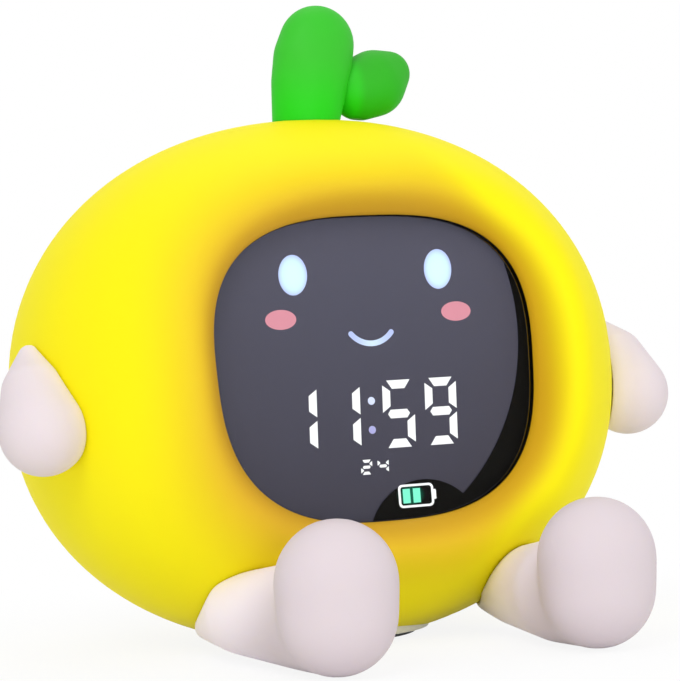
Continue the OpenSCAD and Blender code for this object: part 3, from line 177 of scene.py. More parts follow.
def blended(nodes, links, share, first, second):
    """Two colours, or the colours of two nodes, mixed by a share."""
    mix = node(nodes, "ShaderNodeMix", data_type="RGBA")
    for socket, value in ((mix.inputs["Factor"], share), (mix.inputs[6], first), (mix.inputs[7], second)):
        if isinstance(value, bpy.types.NodeSocket):
            links.new(value, socket)
        else:
            socket.default_value = value
    return mix.outputs[2]


def share_of(nodes, links, value, size, power):
    """How far a value is from 0, as a share of a size and raised to a power."""
    part = calc(nodes, links, "ABSOLUTE", calc(nodes, links, "DIVIDE", value, size))
    return calc(nodes, links, "POWER", part, power)


def squares(nodes, links, first, second):
    """The sum of the squares of two values."""
    return calc(nodes, links, "ADD", calc(nodes, links, "MULTIPLY", first, first),
                calc(nodes, links, "MULTIPLY", second, second))


def object_place(nodes, links):
    """X, Y and Z of the shaded point, in the clock's own frame."""
    split = nodes.new("ShaderNodeSeparateXYZ")
    links.new(nodes.new("ShaderNodeTexCoord").outputs["Object"], split.inputs["Vector"])
    return split.outputs["X"], split.outputs["Y"], split.outputs["Z"]


def uneven(nodes, links, shader, pattern, low, high):
    """Roughness that wanders between two values with a noise pattern."""
    gloss = node(nodes, "ShaderNodeMapRange")
    gloss.inputs["To Min"].default_value = low
    gloss.inputs["To Max"].default_value = high
    links.new(pattern.outputs["Fac"], gloss.inputs["Value"])
    links.new(gloss.outputs["Result"], shader.inputs["Roughness"])


def moulded(name, tint, rough, grain_mm=0.4, bump=0.05, shift=0.04, soft=0.0, shine=0.5):
    """A moulded plastic or silicone: a tint with faint clouds, uneven gloss and a fine grain."""
    material, nodes, links, shader = finish_named(name)
    place = nodes.new("ShaderNodeTexCoord")
    clouds = node(nodes, "ShaderNodeTexNoise", Scale=CLOUD_SCALE, Detail=3.0)
    links.new(place.outputs["Object"], clouds.inputs["Vector"])
    darker = tuple(v * (1 - shift) for v in tint[:3]) + (1,)
    links.new(blended(nodes, links, clouds.outputs["Fac"], darker, tint), shader.inputs["Base Color"])
    uneven(nodes, links, shader, clouds, rough - GLOSS_SHIFT, rough + GLOSS_SHIFT)
    grain = node(nodes, "ShaderNodeTexNoise", Scale=1000 / grain_mm, Detail=2.0)
    links.new(place.outputs["Object"], grain.inputs["Vector"])
    dents = node(nodes, "ShaderNodeBump", Strength=bump, Distance=GRAIN_DEEP)
    links.new(grain.outputs["Fac"], dents.inputs["Height"])
    links.new(dents.outputs["Normal"], shader.inputs["Normal"])
    shader.inputs["Specular IOR Level"].default_value = shine
    if soft:
        shader.inputs["Subsurface Weight"].default_value = soft
        shader.inputs["Subsurface Radius"].default_value = GLOW_REACH
        shader.inputs["Subsurface Scale"].default_value = GLOW_DEEP
    return material


print("white as the shader wants it:", colour(255, 255, 255))

# %% [markdown]
# # Silicone and plastics
# The soft parts are silicone with a dry, powdery touch, so they are nearly matt. On the lip close to the
# display the yellow gets a painted gold shade, where the skin bends inwards and gets little light. The
# limbs get painted shade that makes them a little darker at the feet, and painted light that makes them
# paler close to the body and under it. All of this is worked out from the place of a point: its distance
# from the display's outline, and from the body's surface. The hard parts behind them are plain
# mouldings.

# %% Painted shade and light by place
# How far the painted gold shade on the lip reaches, in display sizes, on the left and on the right.
LIP_SHADE_LEFT, LIP_SHADE_RIGHT = 1.58, 1.19
RIGHT_FROM, RIGHT_TO = 5 * MM, 34 * MM
FRONT_FROM, FRONT_TO = -20 * MM, -12 * MM
# Colours of the painted gold shade on the left and on the right, and how fast it fades.
SHADE_GOLD_LEFT, SHADE_GOLD_RIGHT, SHADE_GOLD_FADE = (218, 168, 44), (216, 168, 28), 1.3
# The hands' pink, and a darker pink that paints shade on the legs and feet.
HAND_PINK, FOOT_SHADE_PINK = (225, 213, 217), (214, 202, 207)
FOOT_BELOW, HAND_ABOVE = 36 * MM, 42 * MM
# Painted light: a paler pink close to the body's surface and under it.
PAINTED_LIGHT_PINK, BESIDE_SHARE, BESIDE_TO = (252, 242, 254), 0.4, 1.2
UNDER_FROM, UNDER_TO, UNDER_BELOW, UNDER_ABOVE = 1.3, 2.4, 22 * MM, 34 * MM


def tinted(material, share, tint):
    """Mixes a tint into the base colour that a finish already has."""
    nodes, links = material.node_tree.nodes, material.node_tree.links
    socket = nodes["Principled BSDF"].inputs["Base Color"]
    base = socket.links[0].from_socket
    links.new(blended(nodes, links, share, base, tint), socket)


def painted_lip_shade(material):
    """Painted gold shade round the display, wider on the left and above than on the right."""
    nodes, links = material.node_tree.nodes, material.node_tree.links
    x, y, z = object_place(nodes, links)
    above = calc(nodes, links, "SUBTRACT", z, MIDDLE + SHOW_UP)
    across = share_of(nodes, links, x, SHOW_WIDE / 2, SHOW_SQUARE)
    along = share_of(nodes, links, above, SHOW_TALL / 2 * math.cos(LEAN), SHOW_SQUARE)
    reach = calc(nodes, links, "POWER", calc(nodes, links, "ADD", across, along), 1 / SHOW_SQUARE)
    rightness = ramp(nodes, links, x, RIGHT_FROM, RIGHT_TO)
    far = ramp(nodes, links, rightness, 0, 1, LIP_SHADE_LEFT, LIP_SHADE_RIGHT)
    nearness = calc(nodes, links, "DIVIDE", calc(nodes, links, "SUBTRACT", far, reach),
                    calc(nodes, links, "SUBTRACT", far, 1.0))
    fade = calc(nodes, links, "POWER", ramp(nodes, links, nearness, 0, 1), SHADE_GOLD_FADE)
    front = ramp(nodes, links, y, FRONT_FROM, FRONT_TO, 1, 0)
    gold = blended(nodes, links, rightness, colour(*SHADE_GOLD_LEFT), colour(*SHADE_GOLD_RIGHT))
    # Painted shade: the gold is mixed in near the display's edge, on the front only.
    tinted(material, calc(nodes, links, "MULTIPLY", fade, front), gold)


def painted_limb_light(material):
    """Painted shade makes feet a little darker than hands; painted light makes both paler near the body's
    surface and under it.
    """
    nodes, links = material.node_tree.nodes, material.node_tree.links
    x, y, z = object_place(nodes, links)
    above = calc(nodes, links, "SUBTRACT", z, MIDDLE)
    level = calc(nodes, links, "ADD", share_of(nodes, links, x, HALF_WIDE, SQUARE),
                 share_of(nodes, links, y, HALF_DEEP, SQUARE))
    level = calc(nodes, links, "ADD", level, share_of(nodes, links, above, BODY_BOTTOM, SQUARE))
    beside = ramp(nodes, links, level, 1.0, BESIDE_TO, BESIDE_SHARE, 0.0)
    under = calc(nodes, links, "MULTIPLY", ramp(nodes, links, level, UNDER_FROM, UNDER_TO, 1.0, 0.0),
                 ramp(nodes, links, z, UNDER_BELOW, UNDER_ABOVE, 1.0, 0.0))
    # Painted shade on the legs and feet.
    tinted(material, ramp(nodes, links, z, FOOT_BELOW, HAND_ABOVE, 1.0, 0.0), colour(*FOOT_SHADE_PINK))
    # Painted light close to the body and under it.
    tinted(material, calc(nodes, links, "MAXIMUM", beside, under), colour(*PAINTED_LIGHT_PINK))


# How far the painted gold shade reaches.
print("gold reaches", LIP_SHADE_LEFT, "display sizes on the left and", LIP_SHADE_RIGHT, "on the right")

# %% Main finishes
SOFT = 0.08
LOWER_GREEN, LOWER_GREEN_FROM, LOWER_GREEN_TO = (30, 206, 12), 109 * MM, 124 * MM
BUD_GREEN, BUD_FROM, BUD_TO = (46, 146, 28), 11.5 * MM, 14 * MM
yellow = moulded("yellow silicone", colour(250, 236, 10), 0.6, soft=SOFT, shine=0.12)
# Painted gold shade on the lip round the display.
painted_lip_shade(yellow)
pink = moulded("pale pink silicone", colour(*HAND_PINK), 0.6, soft=SOFT, shine=0.2)
# Painted shade on the feet and painted light close to the body.
painted_limb_light(pink)
green = moulded("green silicone", colour(56, 190, 44), 0.55, soft=SOFT, shine=0.2)
nodes, links = green.node_tree.nodes, green.node_tree.links
x, y, z = object_place(nodes, links)
# Lower down, the leaves turn a brighter, more saturated green.
tinted(green, ramp(nodes, links, z, LOWER_GREEN_FROM, LOWER_GREEN_TO, 0.9, 0), colour(*LOWER_GREEN))
tinted(green, ramp(nodes, links, x, BUD_FROM, BUD_TO, 0, 0.45), colour(*BUD_GREEN))
cover_yellow = moulded("yellow cover plastic", colour(244, 224, 20), 0.4, grain_mm=0.25, bump=0.12)
white_plastic = moulded("white moulding", colour(238, 238, 232), 0.45)
black_plastic = moulded("black moulding", colour(24, 24, 24), 0.5)
key_white = moulded("key moulding", colour(240, 232, 232), 0.42)
dark_rubber = moulded("dark rubber", colour(58, 58, 58), 0.75, grain_mm=0.6, bump=0.2)
speaker_black = moulded("treated paper", colour(36, 36, 38), 0.8, grain_mm=0.5, bump=0.25)
cell_blue = moulded("shrink sleeve", colour(40, 110, 190), 0.3)
led_cream = moulded("lamp package", colour(245, 238, 190), 0.3)
black_film = moulded("printed black", colour(9, 8, 5), 0.5, shift=0.2, shine=0.1)
print("main finishes:", len(bpy.data.materials))

# %% [markdown]
# # Metal, boards, the milky dome and the smoked lens
# Screws and cans are plated metal with faint streaks. A circuit board is green varnish over a weave. The
# lens is clear acrylic with a grey tint: a low alpha lets the lights through, and the polished face keeps
# a thin gloss.

# %% Other finishes
def plated():
    """Plated metal with faint upright streaks."""
    material, nodes, links, shader = finish_named("plated metal")
    place = nodes.new("ShaderNodeTexCoord")
    streaks = node(nodes, "ShaderNodeTexNoise", Scale=900.0, Detail=3.0)
    stretch = nodes.new("ShaderNodeMapping")
    stretch.inputs["Scale"].default_value = (1, 1, 0.08)
    links.new(place.outputs["Object"], stretch.inputs["Vector"])
    links.new(stretch.outputs["Vector"], streaks.inputs["Vector"])
    uneven(nodes, links, shader, streaks, 0.2, 0.42)
    shader.inputs["Base Color"].default_value = colour(196, 196, 200)
    shader.inputs["Metallic"].default_value = 1.0
    return material


def circuit_board():
    """Green varnish over the weave and tracks of a board."""
    material, nodes, links, shader = finish_named("board varnish")
    place = nodes.new("ShaderNodeTexCoord")
    tracks = node(nodes, "ShaderNodeTexBrick", Scale=420.0)
    tracks.inputs["Color1"].default_value = colour(18, 92, 58)
    tracks.inputs["Color2"].default_value = colour(14, 80, 50)
    tracks.inputs["Mortar"].default_value = colour(40, 126, 84)
    links.new(place.outputs["Object"], tracks.inputs["Vector"])
    links.new(tracks.outputs["Color"], shader.inputs["Base Color"])
    shader.inputs["Roughness"].default_value = 0.28
    return material


def smoked():
    """Polished acrylic with a grey tint that lights show through."""
    material, nodes, links, shader = finish_named("smoked acrylic")
    place = nodes.new("ShaderNodeTexCoord")
    haze = node(nodes, "ShaderNodeTexNoise", Scale=60.0, Detail=2.0)
    links.new(place.outputs["Object"], haze.inputs["Vector"])
    uneven(nodes, links, shader, haze, 0.04, 0.08)
    shader.inputs["Base Color"].default_value = colour(12, 12, 16)
    shader.inputs["Alpha"].default_value = 0.07
    shader.inputs["Specular IOR Level"].default_value = 0.08
    return material


steel = plated()
board_green = circuit_board()
smoked_clear = smoked()
diffuser_white = moulded("milky dome", colour(246, 246, 246), 0.6, soft=0.3)
print("finishes with metal, boards and lens:", len(bpy.data.materials))

# %% [markdown]
# # The lights of the display
# The grey panel has a grey of its own and a painted reflection of the white surroundings, which makes it
# lighter at its top than at its bottom, so its colour runs along Z. A lit window gives light by itself:
# emission at a strength near 1 shows its colour as written. The eyes shade from pale blue to a lavender
# rim, worked out from the distance to the nearer eye's centre.

# %% Panel and lights
PANEL_LOW = 27 * MM
PANEL_HIGH = 88 * MM
FACE_SIDE = -0.2 * MM
EYE_GAP = 32.6 * MM
EYE_WIDE, EYE_TALL, EYE_RIM = 6.3 * MM, 8.2 * MM, 2.2
SMILE_HALF = 4.5 * MM
LIGHT_STRENGTH = 1.3


def panel_grey(name):
    """The panel's printed grey, with a painted reflection that makes it a shade lighter upwards."""
    material, nodes, links, shader = finish_named(name)
    rise = node(nodes, "ShaderNodeMapRange")
    rise.inputs["From Min"].default_value = PANEL_LOW
    rise.inputs["From Max"].default_value = PANEL_HIGH
    links.new(object_place(nodes, links)[2], rise.inputs["Value"])
    # Painted reflection: the grey gets lighter upwards.
    grey = blended(nodes, links, rise.outputs["Result"], colour(59, 58, 75), colour(86, 86, 106))
    links.new(grey, shader.inputs["Base Color"])
    shader.inputs["Roughness"].default_value = 0.6
    return material


def lit(name, tint, shade_by=None, rim=None):
    """A lit window: it shows its own light only, with faint clouds or shading to a second colour."""
    material, nodes, links, shader = finish_named(name)
    if shade_by is None:
        clouds = node(nodes, "ShaderNodeTexNoise", Scale=300.0)
        links.new(nodes.new("ShaderNodeTexCoord").outputs["Object"], clouds.inputs["Vector"])
        share, rim = clouds.outputs["Fac"], tuple(v * 0.94 for v in tint[:3]) + (1,)
    else:
        share = shade_by(nodes, links)
    links.new(blended(nodes, links, share, tint, rim), shader.inputs["Emission Color"])
    shader.inputs["Emission Strength"].default_value = LIGHT_STRENGTH
    shader.inputs["Base Color"].default_value = (0.01, 0.01, 0.01, 1)
    shader.inputs["Roughness"].default_value = 0.6
    return material


def eye_rim(nodes, links):
    """0 at an eye's centre and 1 at its rim, kept low until near the rim."""
    x, y, z = object_place(nodes, links)
    low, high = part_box("eye_lights")
    x = calc(nodes, links, "ABSOLUTE", calc(nodes, links, "SUBTRACT", x, FACE_SIDE))
    x = calc(nodes, links, "DIVIDE", calc(nodes, links, "SUBTRACT", x, EYE_GAP / 2), EYE_WIDE / 2)
    z = calc(nodes, links, "SUBTRACT", z, (low[2] + high[2]) / 2)
    z = calc(nodes, links, "DIVIDE", z, EYE_TALL / 2)
    return calc(nodes, links, "POWER", squares(nodes, links, x, z), EYE_RIM)


def from_middle(nodes, links):
    """0 under the face's middle and 1 at the smile's ends."""
    x = object_place(nodes, links)[0]
    x = calc(nodes, links, "ABSOLUTE", calc(nodes, links, "SUBTRACT", x, FACE_SIDE))
    return ramp(nodes, links, x, 0, SMILE_HALF)


def downwards(nodes, links):
    """0 at the upper dot of the colon and 1 at the lower one."""
    low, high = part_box("colon_lights")
    return ramp(nodes, links, object_place(nodes, links)[2], high[2], low[2])


panel_finish = panel_grey("panel grey with painted reflection")
unlit_finish = panel_grey("unlit bar")
white_light = lit("white light", colour(252, 255, 255))
eye_light = lit("eye light", colour(212, 248, 255), eye_rim, colour(178, 194, 250))
cheek_light = lit("cheek light", colour(215, 140, 155))
smile_light = lit("smile light", colour(205, 228, 255), from_middle, colour(180, 195, 245))
colon_light = lit("colon light", colour(212, 222, 250), downwards, colour(165, 165, 215))
mint_light = lit("mint light", colour(120, 245, 205))
print("finishes with panel and lights:", len(bpy.data.materials))

# %% [markdown]
# # A glow behind the battery's bars
# The green bars of the battery sign light up the black film round them a little. So the film gets a weak
# green emission that fades with the distance from the bars' middle.

# %% Glow on the film
GLOW_X, GLOW_Z, GLOW_WIDE, GLOW_TALL = 5.6 * MM, 30.4 * MM, 3.4 * MM, 2.4 * MM
nodes, links = black_film.node_tree.nodes, black_film.node_tree.links
x, y, z = object_place(nodes, links)
x = calc(nodes, links, "DIVIDE", calc(nodes, links, "SUBTRACT", x, GLOW_X), GLOW_WIDE)
z = calc(nodes, links, "DIVIDE", calc(nodes, links, "SUBTRACT", z, GLOW_Z), GLOW_TALL)
nearness = ramp(nodes, links, squares(nodes, links, x, z), 0, 1, 1, 0)
glow = blended(nodes, links, nearness, (0, 0, 0, 1), colour(10, 92, 70))
links.new(glow, nodes["Principled BSDF"].inputs["Emission Color"])
nodes["Principled BSDF"].inputs["Emission Strength"].default_value = LIGHT_STRENGTH
print("glow", round(GLOW_WIDE / MM, 1), "by", round(GLOW_TALL / MM, 1), "mm to each side")

# %% [markdown]
# # The body's surface
# The body is rounder than a box and squarer than a ball: a superellipse in every direction. A few
# functions give a point of its surface for a direction, and the display's outline and leaning plane. The
# same values drive the solids, so the finished skin lies on them.

# %% Surface functions
LIP_TIGHTER, JUST_BEFORE = 0.8, 0.97


def on_body(d, inset=0.0):
    """The point of the surface in direction d, measured from the body's middle."""
    k = (abs(d[0]) ** SQUARE + abs(d[1]) ** SQUARE + abs(d[2]) ** SQUARE) ** (1 / SQUARE)
    tall = (BODY_BOTTOM if d[2] < 0 else BODY_TOP) - inset
    return np.array([d[0] * (HALF_WIDE - inset), d[1] * (HALF_DEEP - inset), d[2] * tall]) / k


def depth_at(x, z, inset):
    """How deep the body is in front of or behind its middle, at a place seen from the front."""
    tall = (BODY_BOTTOM if z < 0 else BODY_TOP) - inset
    left = 1 - (abs(x) / (HALF_WIDE - inset)) ** SQUARE - (abs(z) / tall) ** SQUARE
    return (HALF_DEEP - inset) * max(left, 0) ** (1 / SQUARE)


def outline(a, grow=0.0):
    """A point of the display's edge, in its own plane."""
    def power(v):
        return math.copysign(abs(v) ** (2 / SHOW_SQUARE), v)
    v = power(math.sin(a))
    return (SHOW_WIDE / 2 * (1 + SHOW_FLARE * v) + grow) * power(math.cos(a)), (SHOW_TALL / 2 + grow) * v


def on_display(p, lift):
    """A place on the display's leaning plane, or lifted off it, measured from the body's middle."""
    return np.array([p[0], -SHOW_FRONT + p[1] * math.sin(LEAN) - lift * math.cos(LEAN),
                     SHOW_UP + p[1] * math.cos(LEAN) + lift * math.sin(LEAN)])


def crest(a, inset):
    """The direction in which the lip round the display starts to turn inwards."""
    x, v = outline(a, LIP_WIDE)
    z = SHOW_UP + v
    tall = (BODY_BOTTOM if z < 0 else BODY_TOP) - inset
    d = np.array([x / (HALF_WIDE - inset), -depth_at(x, z, inset) / (HALF_DEEP - inset), z / tall])
    return d / np.linalg.norm(d)


def towards(d, s):
    """A direction on the way from straight back to d."""
    turn = math.acos(d[1])
    return (math.sin((1 - s) * turn) * np.array([0, 1, 0]) + math.sin(s * turn) * d) / math.sin(turn)


def lip_points(a, inset, lift, steps):
    """A row of points that rolls from the lip's crest down to the display's edge, on a smooth curve."""
    d = crest(a, inset)
    start = on_body(d, inset)
    heading = start - on_body(towards(d, JUST_BEFORE), inset)
    heading = heading / np.linalg.norm(heading)
    end = on_display(outline(a, inset), lift)
    away = on_display(outline(a, inset + MM), lift) - end
    away = away / np.linalg.norm(away)
    out = np.array([0, -math.cos(LEAN), math.sin(LEAN)])
    leant = math.cos(LIP_SPLAY) * out + math.sin(LIP_SPLAY) * away
    roll = LIP_ROLL - LIP_TIGHTER * inset
    p = [start, start + roll * heading, end + roll * leant, end]
    curve = []
    for k in range(steps):
        t = (k + 1) / steps
        u = 1 - t
        curve.append(u ** 3 * p[0] + 3 * t * u ** 2 * p[1] + 3 * t * t * u * p[2] + t ** 3 * p[3])
    return curve


print("display's edge", round(-on_display(outline(0), 0)[1] / MM, 1), "mm in front of the middle")

# %% [markdown]
# # The yellow skin
# A few helpers select objects, apply what was done to them, cut them and dress a finished piece. The
# skin, which is made next, is open at the display and at the back, so it has the shape of a stretched
# ring.

# %% Object helpers
def select_only(*objects):
    """Selects these objects alone and makes the first one active."""
    bpy.ops.object.select_all(action="DESELECT")
    for obj in objects:
        obj.select_set(True)
    bpy.context.view_layer.objects.active = objects[0]


def apply_all(obj):
    """Applies the object's place and every modifier."""
    select_only(obj)
    bpy.ops.object.transform_apply(location=True, rotation=True, scale=True)
    for modifier in list(obj.modifiers):
        bpy.ops.object.modifier_apply(modifier=modifier.name)


def outward(obj):
    """Merges doubles and turns every face outwards."""
    select_only(obj)
    bpy.ops.object.mode_set(mode="EDIT")
    bpy.ops.mesh.select_all(action="SELECT")
    bpy.ops.mesh.remove_doubles(threshold=0.00001)
    bpy.ops.mesh.normals_make_consistent(inside=False)
    bpy.ops.object.mode_set(mode="OBJECT")


def cut(obj, *cutters):
    """Takes the cutters out of the object and removes them."""
    for cutter in cutters:
        hole = obj.modifiers.new("cut", "BOOLEAN")
        hole.operation = "DIFFERENCE"
        hole.object = cutter
        hole.solver = "EXACT"
    apply_all(obj)
    for cutter in cutters:
        bpy.data.objects.remove(cutter)


def cylinder(place, r, depth, sides):
    """An upright cylinder, to cut with or to wrap."""
    bpy.ops.object.select_all(action="DESELECT")
    bpy.ops.mesh.primitive_cylinder_add(vertices=sides, radius=r, depth=depth, location=place)
    made = bpy.context.object
    select_only(made)
    bpy.ops.object.transform_apply(location=True, rotation=True, scale=True)
    return made


def dress(obj, name, finish, body, slot, *nodes):
    """Names a finished piece, gives it its finish, hangs it on its body and hides the solids that it
    replaces.
    """
    obj.name = name
    obj.data.materials.clear()
    obj.data.materials.append(finish)
    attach(obj, body)
    if nodes:
        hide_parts(*nodes)
    print(name, len(obj.data.polygons), "faces")
    return obj


# %% [markdown]
# # The yellow skin's mesh
# A torus is such a ring as well, so its vertices are laid along the skin's section, from the rear opening
# over the body to the lip and the display's edge, and back along the inside. The holes for the base and
# the sprout are cut afterwards.

# %% Body skin
SECTORS, RINGS, LIPS = 160, 40, 16
EDGE_DEEP = 2 * MM
BASE_HOLE_Z, BASE_HOLE_DEEP = 3 * MM, 16 * MM
STEM_HOLE_R, STEM_HOLE_DEEP = 7.3 * MM, 12 * MM


def rear_edge(d, inset):
    """How far from straight back the surface leaves the oval opening round the rear cover."""
    low, high = 0.01, 1.0
    for _ in range(30):
        s = (low + high) / 2
        p = on_body(towards(d, s), inset)
        reach = (p[0] / (COVER_WIDE / 2 + SOFT_GAP)) ** 2 + (p[2] / (COVER_TALL / 2 + SOFT_GAP)) ** 2
        low, high = (s, high) if reach < 1 else (low, s)
    return low


def section(a, inset):
    """The skin's surface from the rear opening to the display, at one inset."""
    d = crest(a, inset)
    first = rear_edge(d, inset)
    rows = [on_body(towards(d, first + (1 - first) * j / RINGS), inset) for j in range(RINGS + 1)]
    rows += lip_points(a, inset, SOFT_GAP, LIPS)
    rows.append(on_display(outline(a, inset), -EDGE_DEEP))
    return rows


bpy.ops.object.select_all(action="DESELECT")
loop = 2 * (RINGS + LIPS + 2)
bpy.ops.mesh.primitive_torus_add(major_segments=SECTORS, minor_segments=loop)
skin = bpy.context.object
points = []
for i in range(SECTORS):
    a = 2 * math.pi * i / SECTORS
    ring = section(a, 0.0) + section(a, SKIN)[::-1]
    points += [p + np.array([0, 0, MIDDLE]) for p in ring]
skin.data.vertices.foreach_set("co", np.array(points).ravel())
outward(skin)
base_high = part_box("base_plate")[1]
stem_low, stem_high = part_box("sprout_plunger")
stem_x = (stem_low[0] + stem_high[0]) / 2
cut(skin, cylinder((0, 0, BASE_HOLE_Z), base_high[0] + SOFT_GAP, BASE_HOLE_DEEP, sides=128),
    cylinder((stem_x, 0, MIDDLE + BODY_TOP), STEM_HOLE_R, STEM_HOLE_DEEP, sides=96))
select_only(skin)
bpy.ops.object.shade_smooth_by_angle(angle=math.radians(40))
dress(skin, "yellow_skin", yellow, "clock", "yellow_silicone", "body_skin")

# %% [markdown]
# # Arms, legs and leaves
# These are soft drops and eggs that melt into each other. Each is a few balls wrapped in one hull, as a
# stretched skin would lie over them. A voxel remesh then makes an even mesh of it, and a smoothing pass
# melts the creases. What would reach into the body is cut off along the body's own surface.

# %% Soft forms
def ball(place, r, flat=1.0):
    """A ball in millimetres, flattened from front to back."""
    bpy.ops.object.select_all(action="DESELECT")
    bpy.ops.mesh.primitive_uv_sphere_add(segments=48, ring_count=32, radius=r * MM, scale=(1, flat, 1),
                                         location=[v * MM for v in place])
    made = bpy.context.object
    select_only(made)
    bpy.ops.object.transform_apply(location=True, rotation=True, scale=True)
    return made


def wrapped(*balls):
    """One hull around several balls."""
    select_only(*balls)
    bpy.ops.object.join()
    bpy.ops.object.mode_set(mode="EDIT")
    bpy.ops.mesh.select_all(action="SELECT")
    bpy.ops.mesh.convex_hull()
    bpy.ops.object.mode_set(mode="OBJECT")
    return bpy.context.object


def melted(voxel, passes, *forms):
    """One even, smoothed mesh of several closed forms."""
    select_only(*forms)
    if len(forms) > 1:
        bpy.ops.object.join()
    made = bpy.context.object
    even = made.modifiers.new("even", "REMESH")
    even.mode = "VOXEL"
    even.voxel_size = voxel * MM
    calm = made.modifiers.new("calm", "SMOOTH")
    calm.factor = 0.5
    calm.iterations = passes
    apply_all(made)
    bpy.ops.object.shade_smooth()
    return made


def body_cutter(gap):
    """The body's rounded form, grown by a gap, to cut pieces against."""
    bpy.ops.object.select_all(action="DESELECT")
    bpy.ops.mesh.primitive_uv_sphere_add(segments=128, ring_count=64, radius=1)
    form = bpy.context.object
    for v in form.data.vertices:
        p = on_body(np.array(v.co) / np.linalg.norm(v.co), -gap)
        v.co = (p[0], p[1], p[2] + MIDDLE)
    return form


def mirrored(obj):
    """A copy on the other side, with its own mesh and its faces turned outwards again."""
    select_only(obj)
    bpy.ops.object.duplicate()
    twin = bpy.context.object
    twin.scale = (-1, 1, 1)
    bpy.ops.object.transform_apply(location=True, rotation=True, scale=True)
    outward(twin)
    return twin


print("arms and legs keep", round(SOFT_GAP / MM, 1), "mm from the body")
# %% [markdown]
# # Arms
# An arm is a bent drop: a hand, an elbow above it and a thin shoulder, each a ball by its place and
# radius in millimetres. The right arm is made and the left one is its mirror image.

# %% Arms
ARM_VOXEL, ARM_PASSES = 0.5, 6
HAND, HAND_R = (66.6, -17.2, 47.5), 8.9
ELBOW, ELBOW_R = (66.6, -12.5, 55), 6.55
SHOULDER, SHOULDER_R = (65, -6, 62.4), 2.25
arm = wrapped(ball(HAND, HAND_R), ball(ELBOW, ELBOW_R), ball(SHOULDER, SHOULDER_R))
arm = melted(ARM_VOXEL, ARM_PASSES, arm)
cut(arm, body_cutter(SOFT_GAP))
dress(arm, "arm_right", pink, "clock", "pink_silicone", "right_arm")
dress(mirrored(arm), "arm_left", pink, "clock", "pink_silicone", "left_arm")

# %% [markdown]
# # Legs
# A leg is a lying drop from its hind tip under the body to the instep, and the foot is an upright egg
# that is a little thinner from front to back. Many smoothing passes melt the crease between the two.

# %% Legs
LEG_VOXEL, LEG_PASSES = 0.6, 40
SOLE, LEG_SIDE, FOOT_FRONT, FOOT_TALL, FOOT_FLAT = 0.1, 28, -67.5, 30, 20.5 / 24.4
FOOT_LOW_R, FOOT_HIGH_R = 11.83, 12.2
LEG_TIP, LEG_TIP_R = (32.4, -11.5, 5.2), 2.3
THIGH, THIGH_R = (31, -30, 9.4), 8.2
ANKLE, ANKLE_R = (LEG_SIDE, -54, 10.7), 10.6
INSTEP, INSTEP_R = (LEG_SIDE, -66, 10.7), 10.5
thigh = wrapped(ball(LEG_TIP, LEG_TIP_R), ball(THIGH, THIGH_R), ball(ANKLE, ANKLE_R), ball(INSTEP, INSTEP_R))
foot = wrapped(ball((0, 0, FOOT_LOW_R + SOLE), FOOT_LOW_R, FOOT_FLAT),
               ball((0, 0, FOOT_TALL - FOOT_HIGH_R), FOOT_HIGH_R, FOOT_FLAT))
foot.location = (LEG_SIDE * MM, FOOT_FRONT * MM, 0)
select_only(foot)
bpy.ops.object.transform_apply(location=True, rotation=True, scale=True)
leg = melted(LEG_VOXEL, LEG_PASSES, thigh, foot)
cut(leg, body_cutter(SOFT_GAP))
dress(leg, "leg_right", pink, "clock", "pink_silicone", "right_leg")
dress(mirrored(leg), "leg_left", pink, "clock", "pink_silicone", "left_leg")

# %% [markdown]
# # Sprout
# The big leaf is the button: a flattened form that leans a little to one side and narrows to a round
# stem. It follows four balls above the stem, each given by its place beside the stem, its height above
# the body's top and its radius. The small leaf is made the same way, and its underside keeps clear of the
# body, so that it can go down with the button.

# %% Sprout
LEAF_VOXEL, LEAF_PASSES = 0.4, 10
STEM_X, STEM_R, STEM_LONG, STEM_DROP = 1, 7, 2.8, 0.6
TOP = 109
LEAF_FLAT, LEAF_BALLS = 0.78, ((0.5, 4.5, 7.6), (1.3, 8, 8.3), (2.5, 12.8, 8.75), (3.5, 16.1, 8.3))
stem = cylinder((STEM_X * MM, 0, (TOP - STEM_DROP) * MM), STEM_R * MM, STEM_LONG * MM, sides=96)
leaf = wrapped(stem, *[ball((STEM_X + x, 0, TOP + z), r, LEAF_FLAT) for x, z, r in LEAF_BALLS])
leaf = melted(LEAF_VOXEL, LEAF_PASSES, leaf)
dress(leaf, "leaf_big", green, "sprout", "green_silicone", "big_leaf")

BUD_CLEAR = 1.1 * MM
BUD_BACK, BUD_FLAT, BUD_BALLS = 1, 0.84, ((21.6, 9.8, 4.9), (18.05, 7.8, 7.2), (14.5, 6.6, 6.8))
bud = wrapped(*[ball((x, BUD_BACK, TOP + z), r, BUD_FLAT) for x, z, r in BUD_BALLS])
bud = melted(LEAF_VOXEL, LEAF_PASSES, bud)
cut(bud, body_cutter(BUD_CLEAR))
dress(bud, "leaf_small", green, "sprout", "green_silicone", "small_leaf")

# %% [markdown]
# # The lens and the panel behind it
# The lens is a flat plate of acrylic with a polished, slightly rounded edge that is painted black. The
# panel is one dark sheet, and its unlit bars don't show, so it is cut only where a light stands. Both
# start as a circle that is laid along the display's outline and extruded.

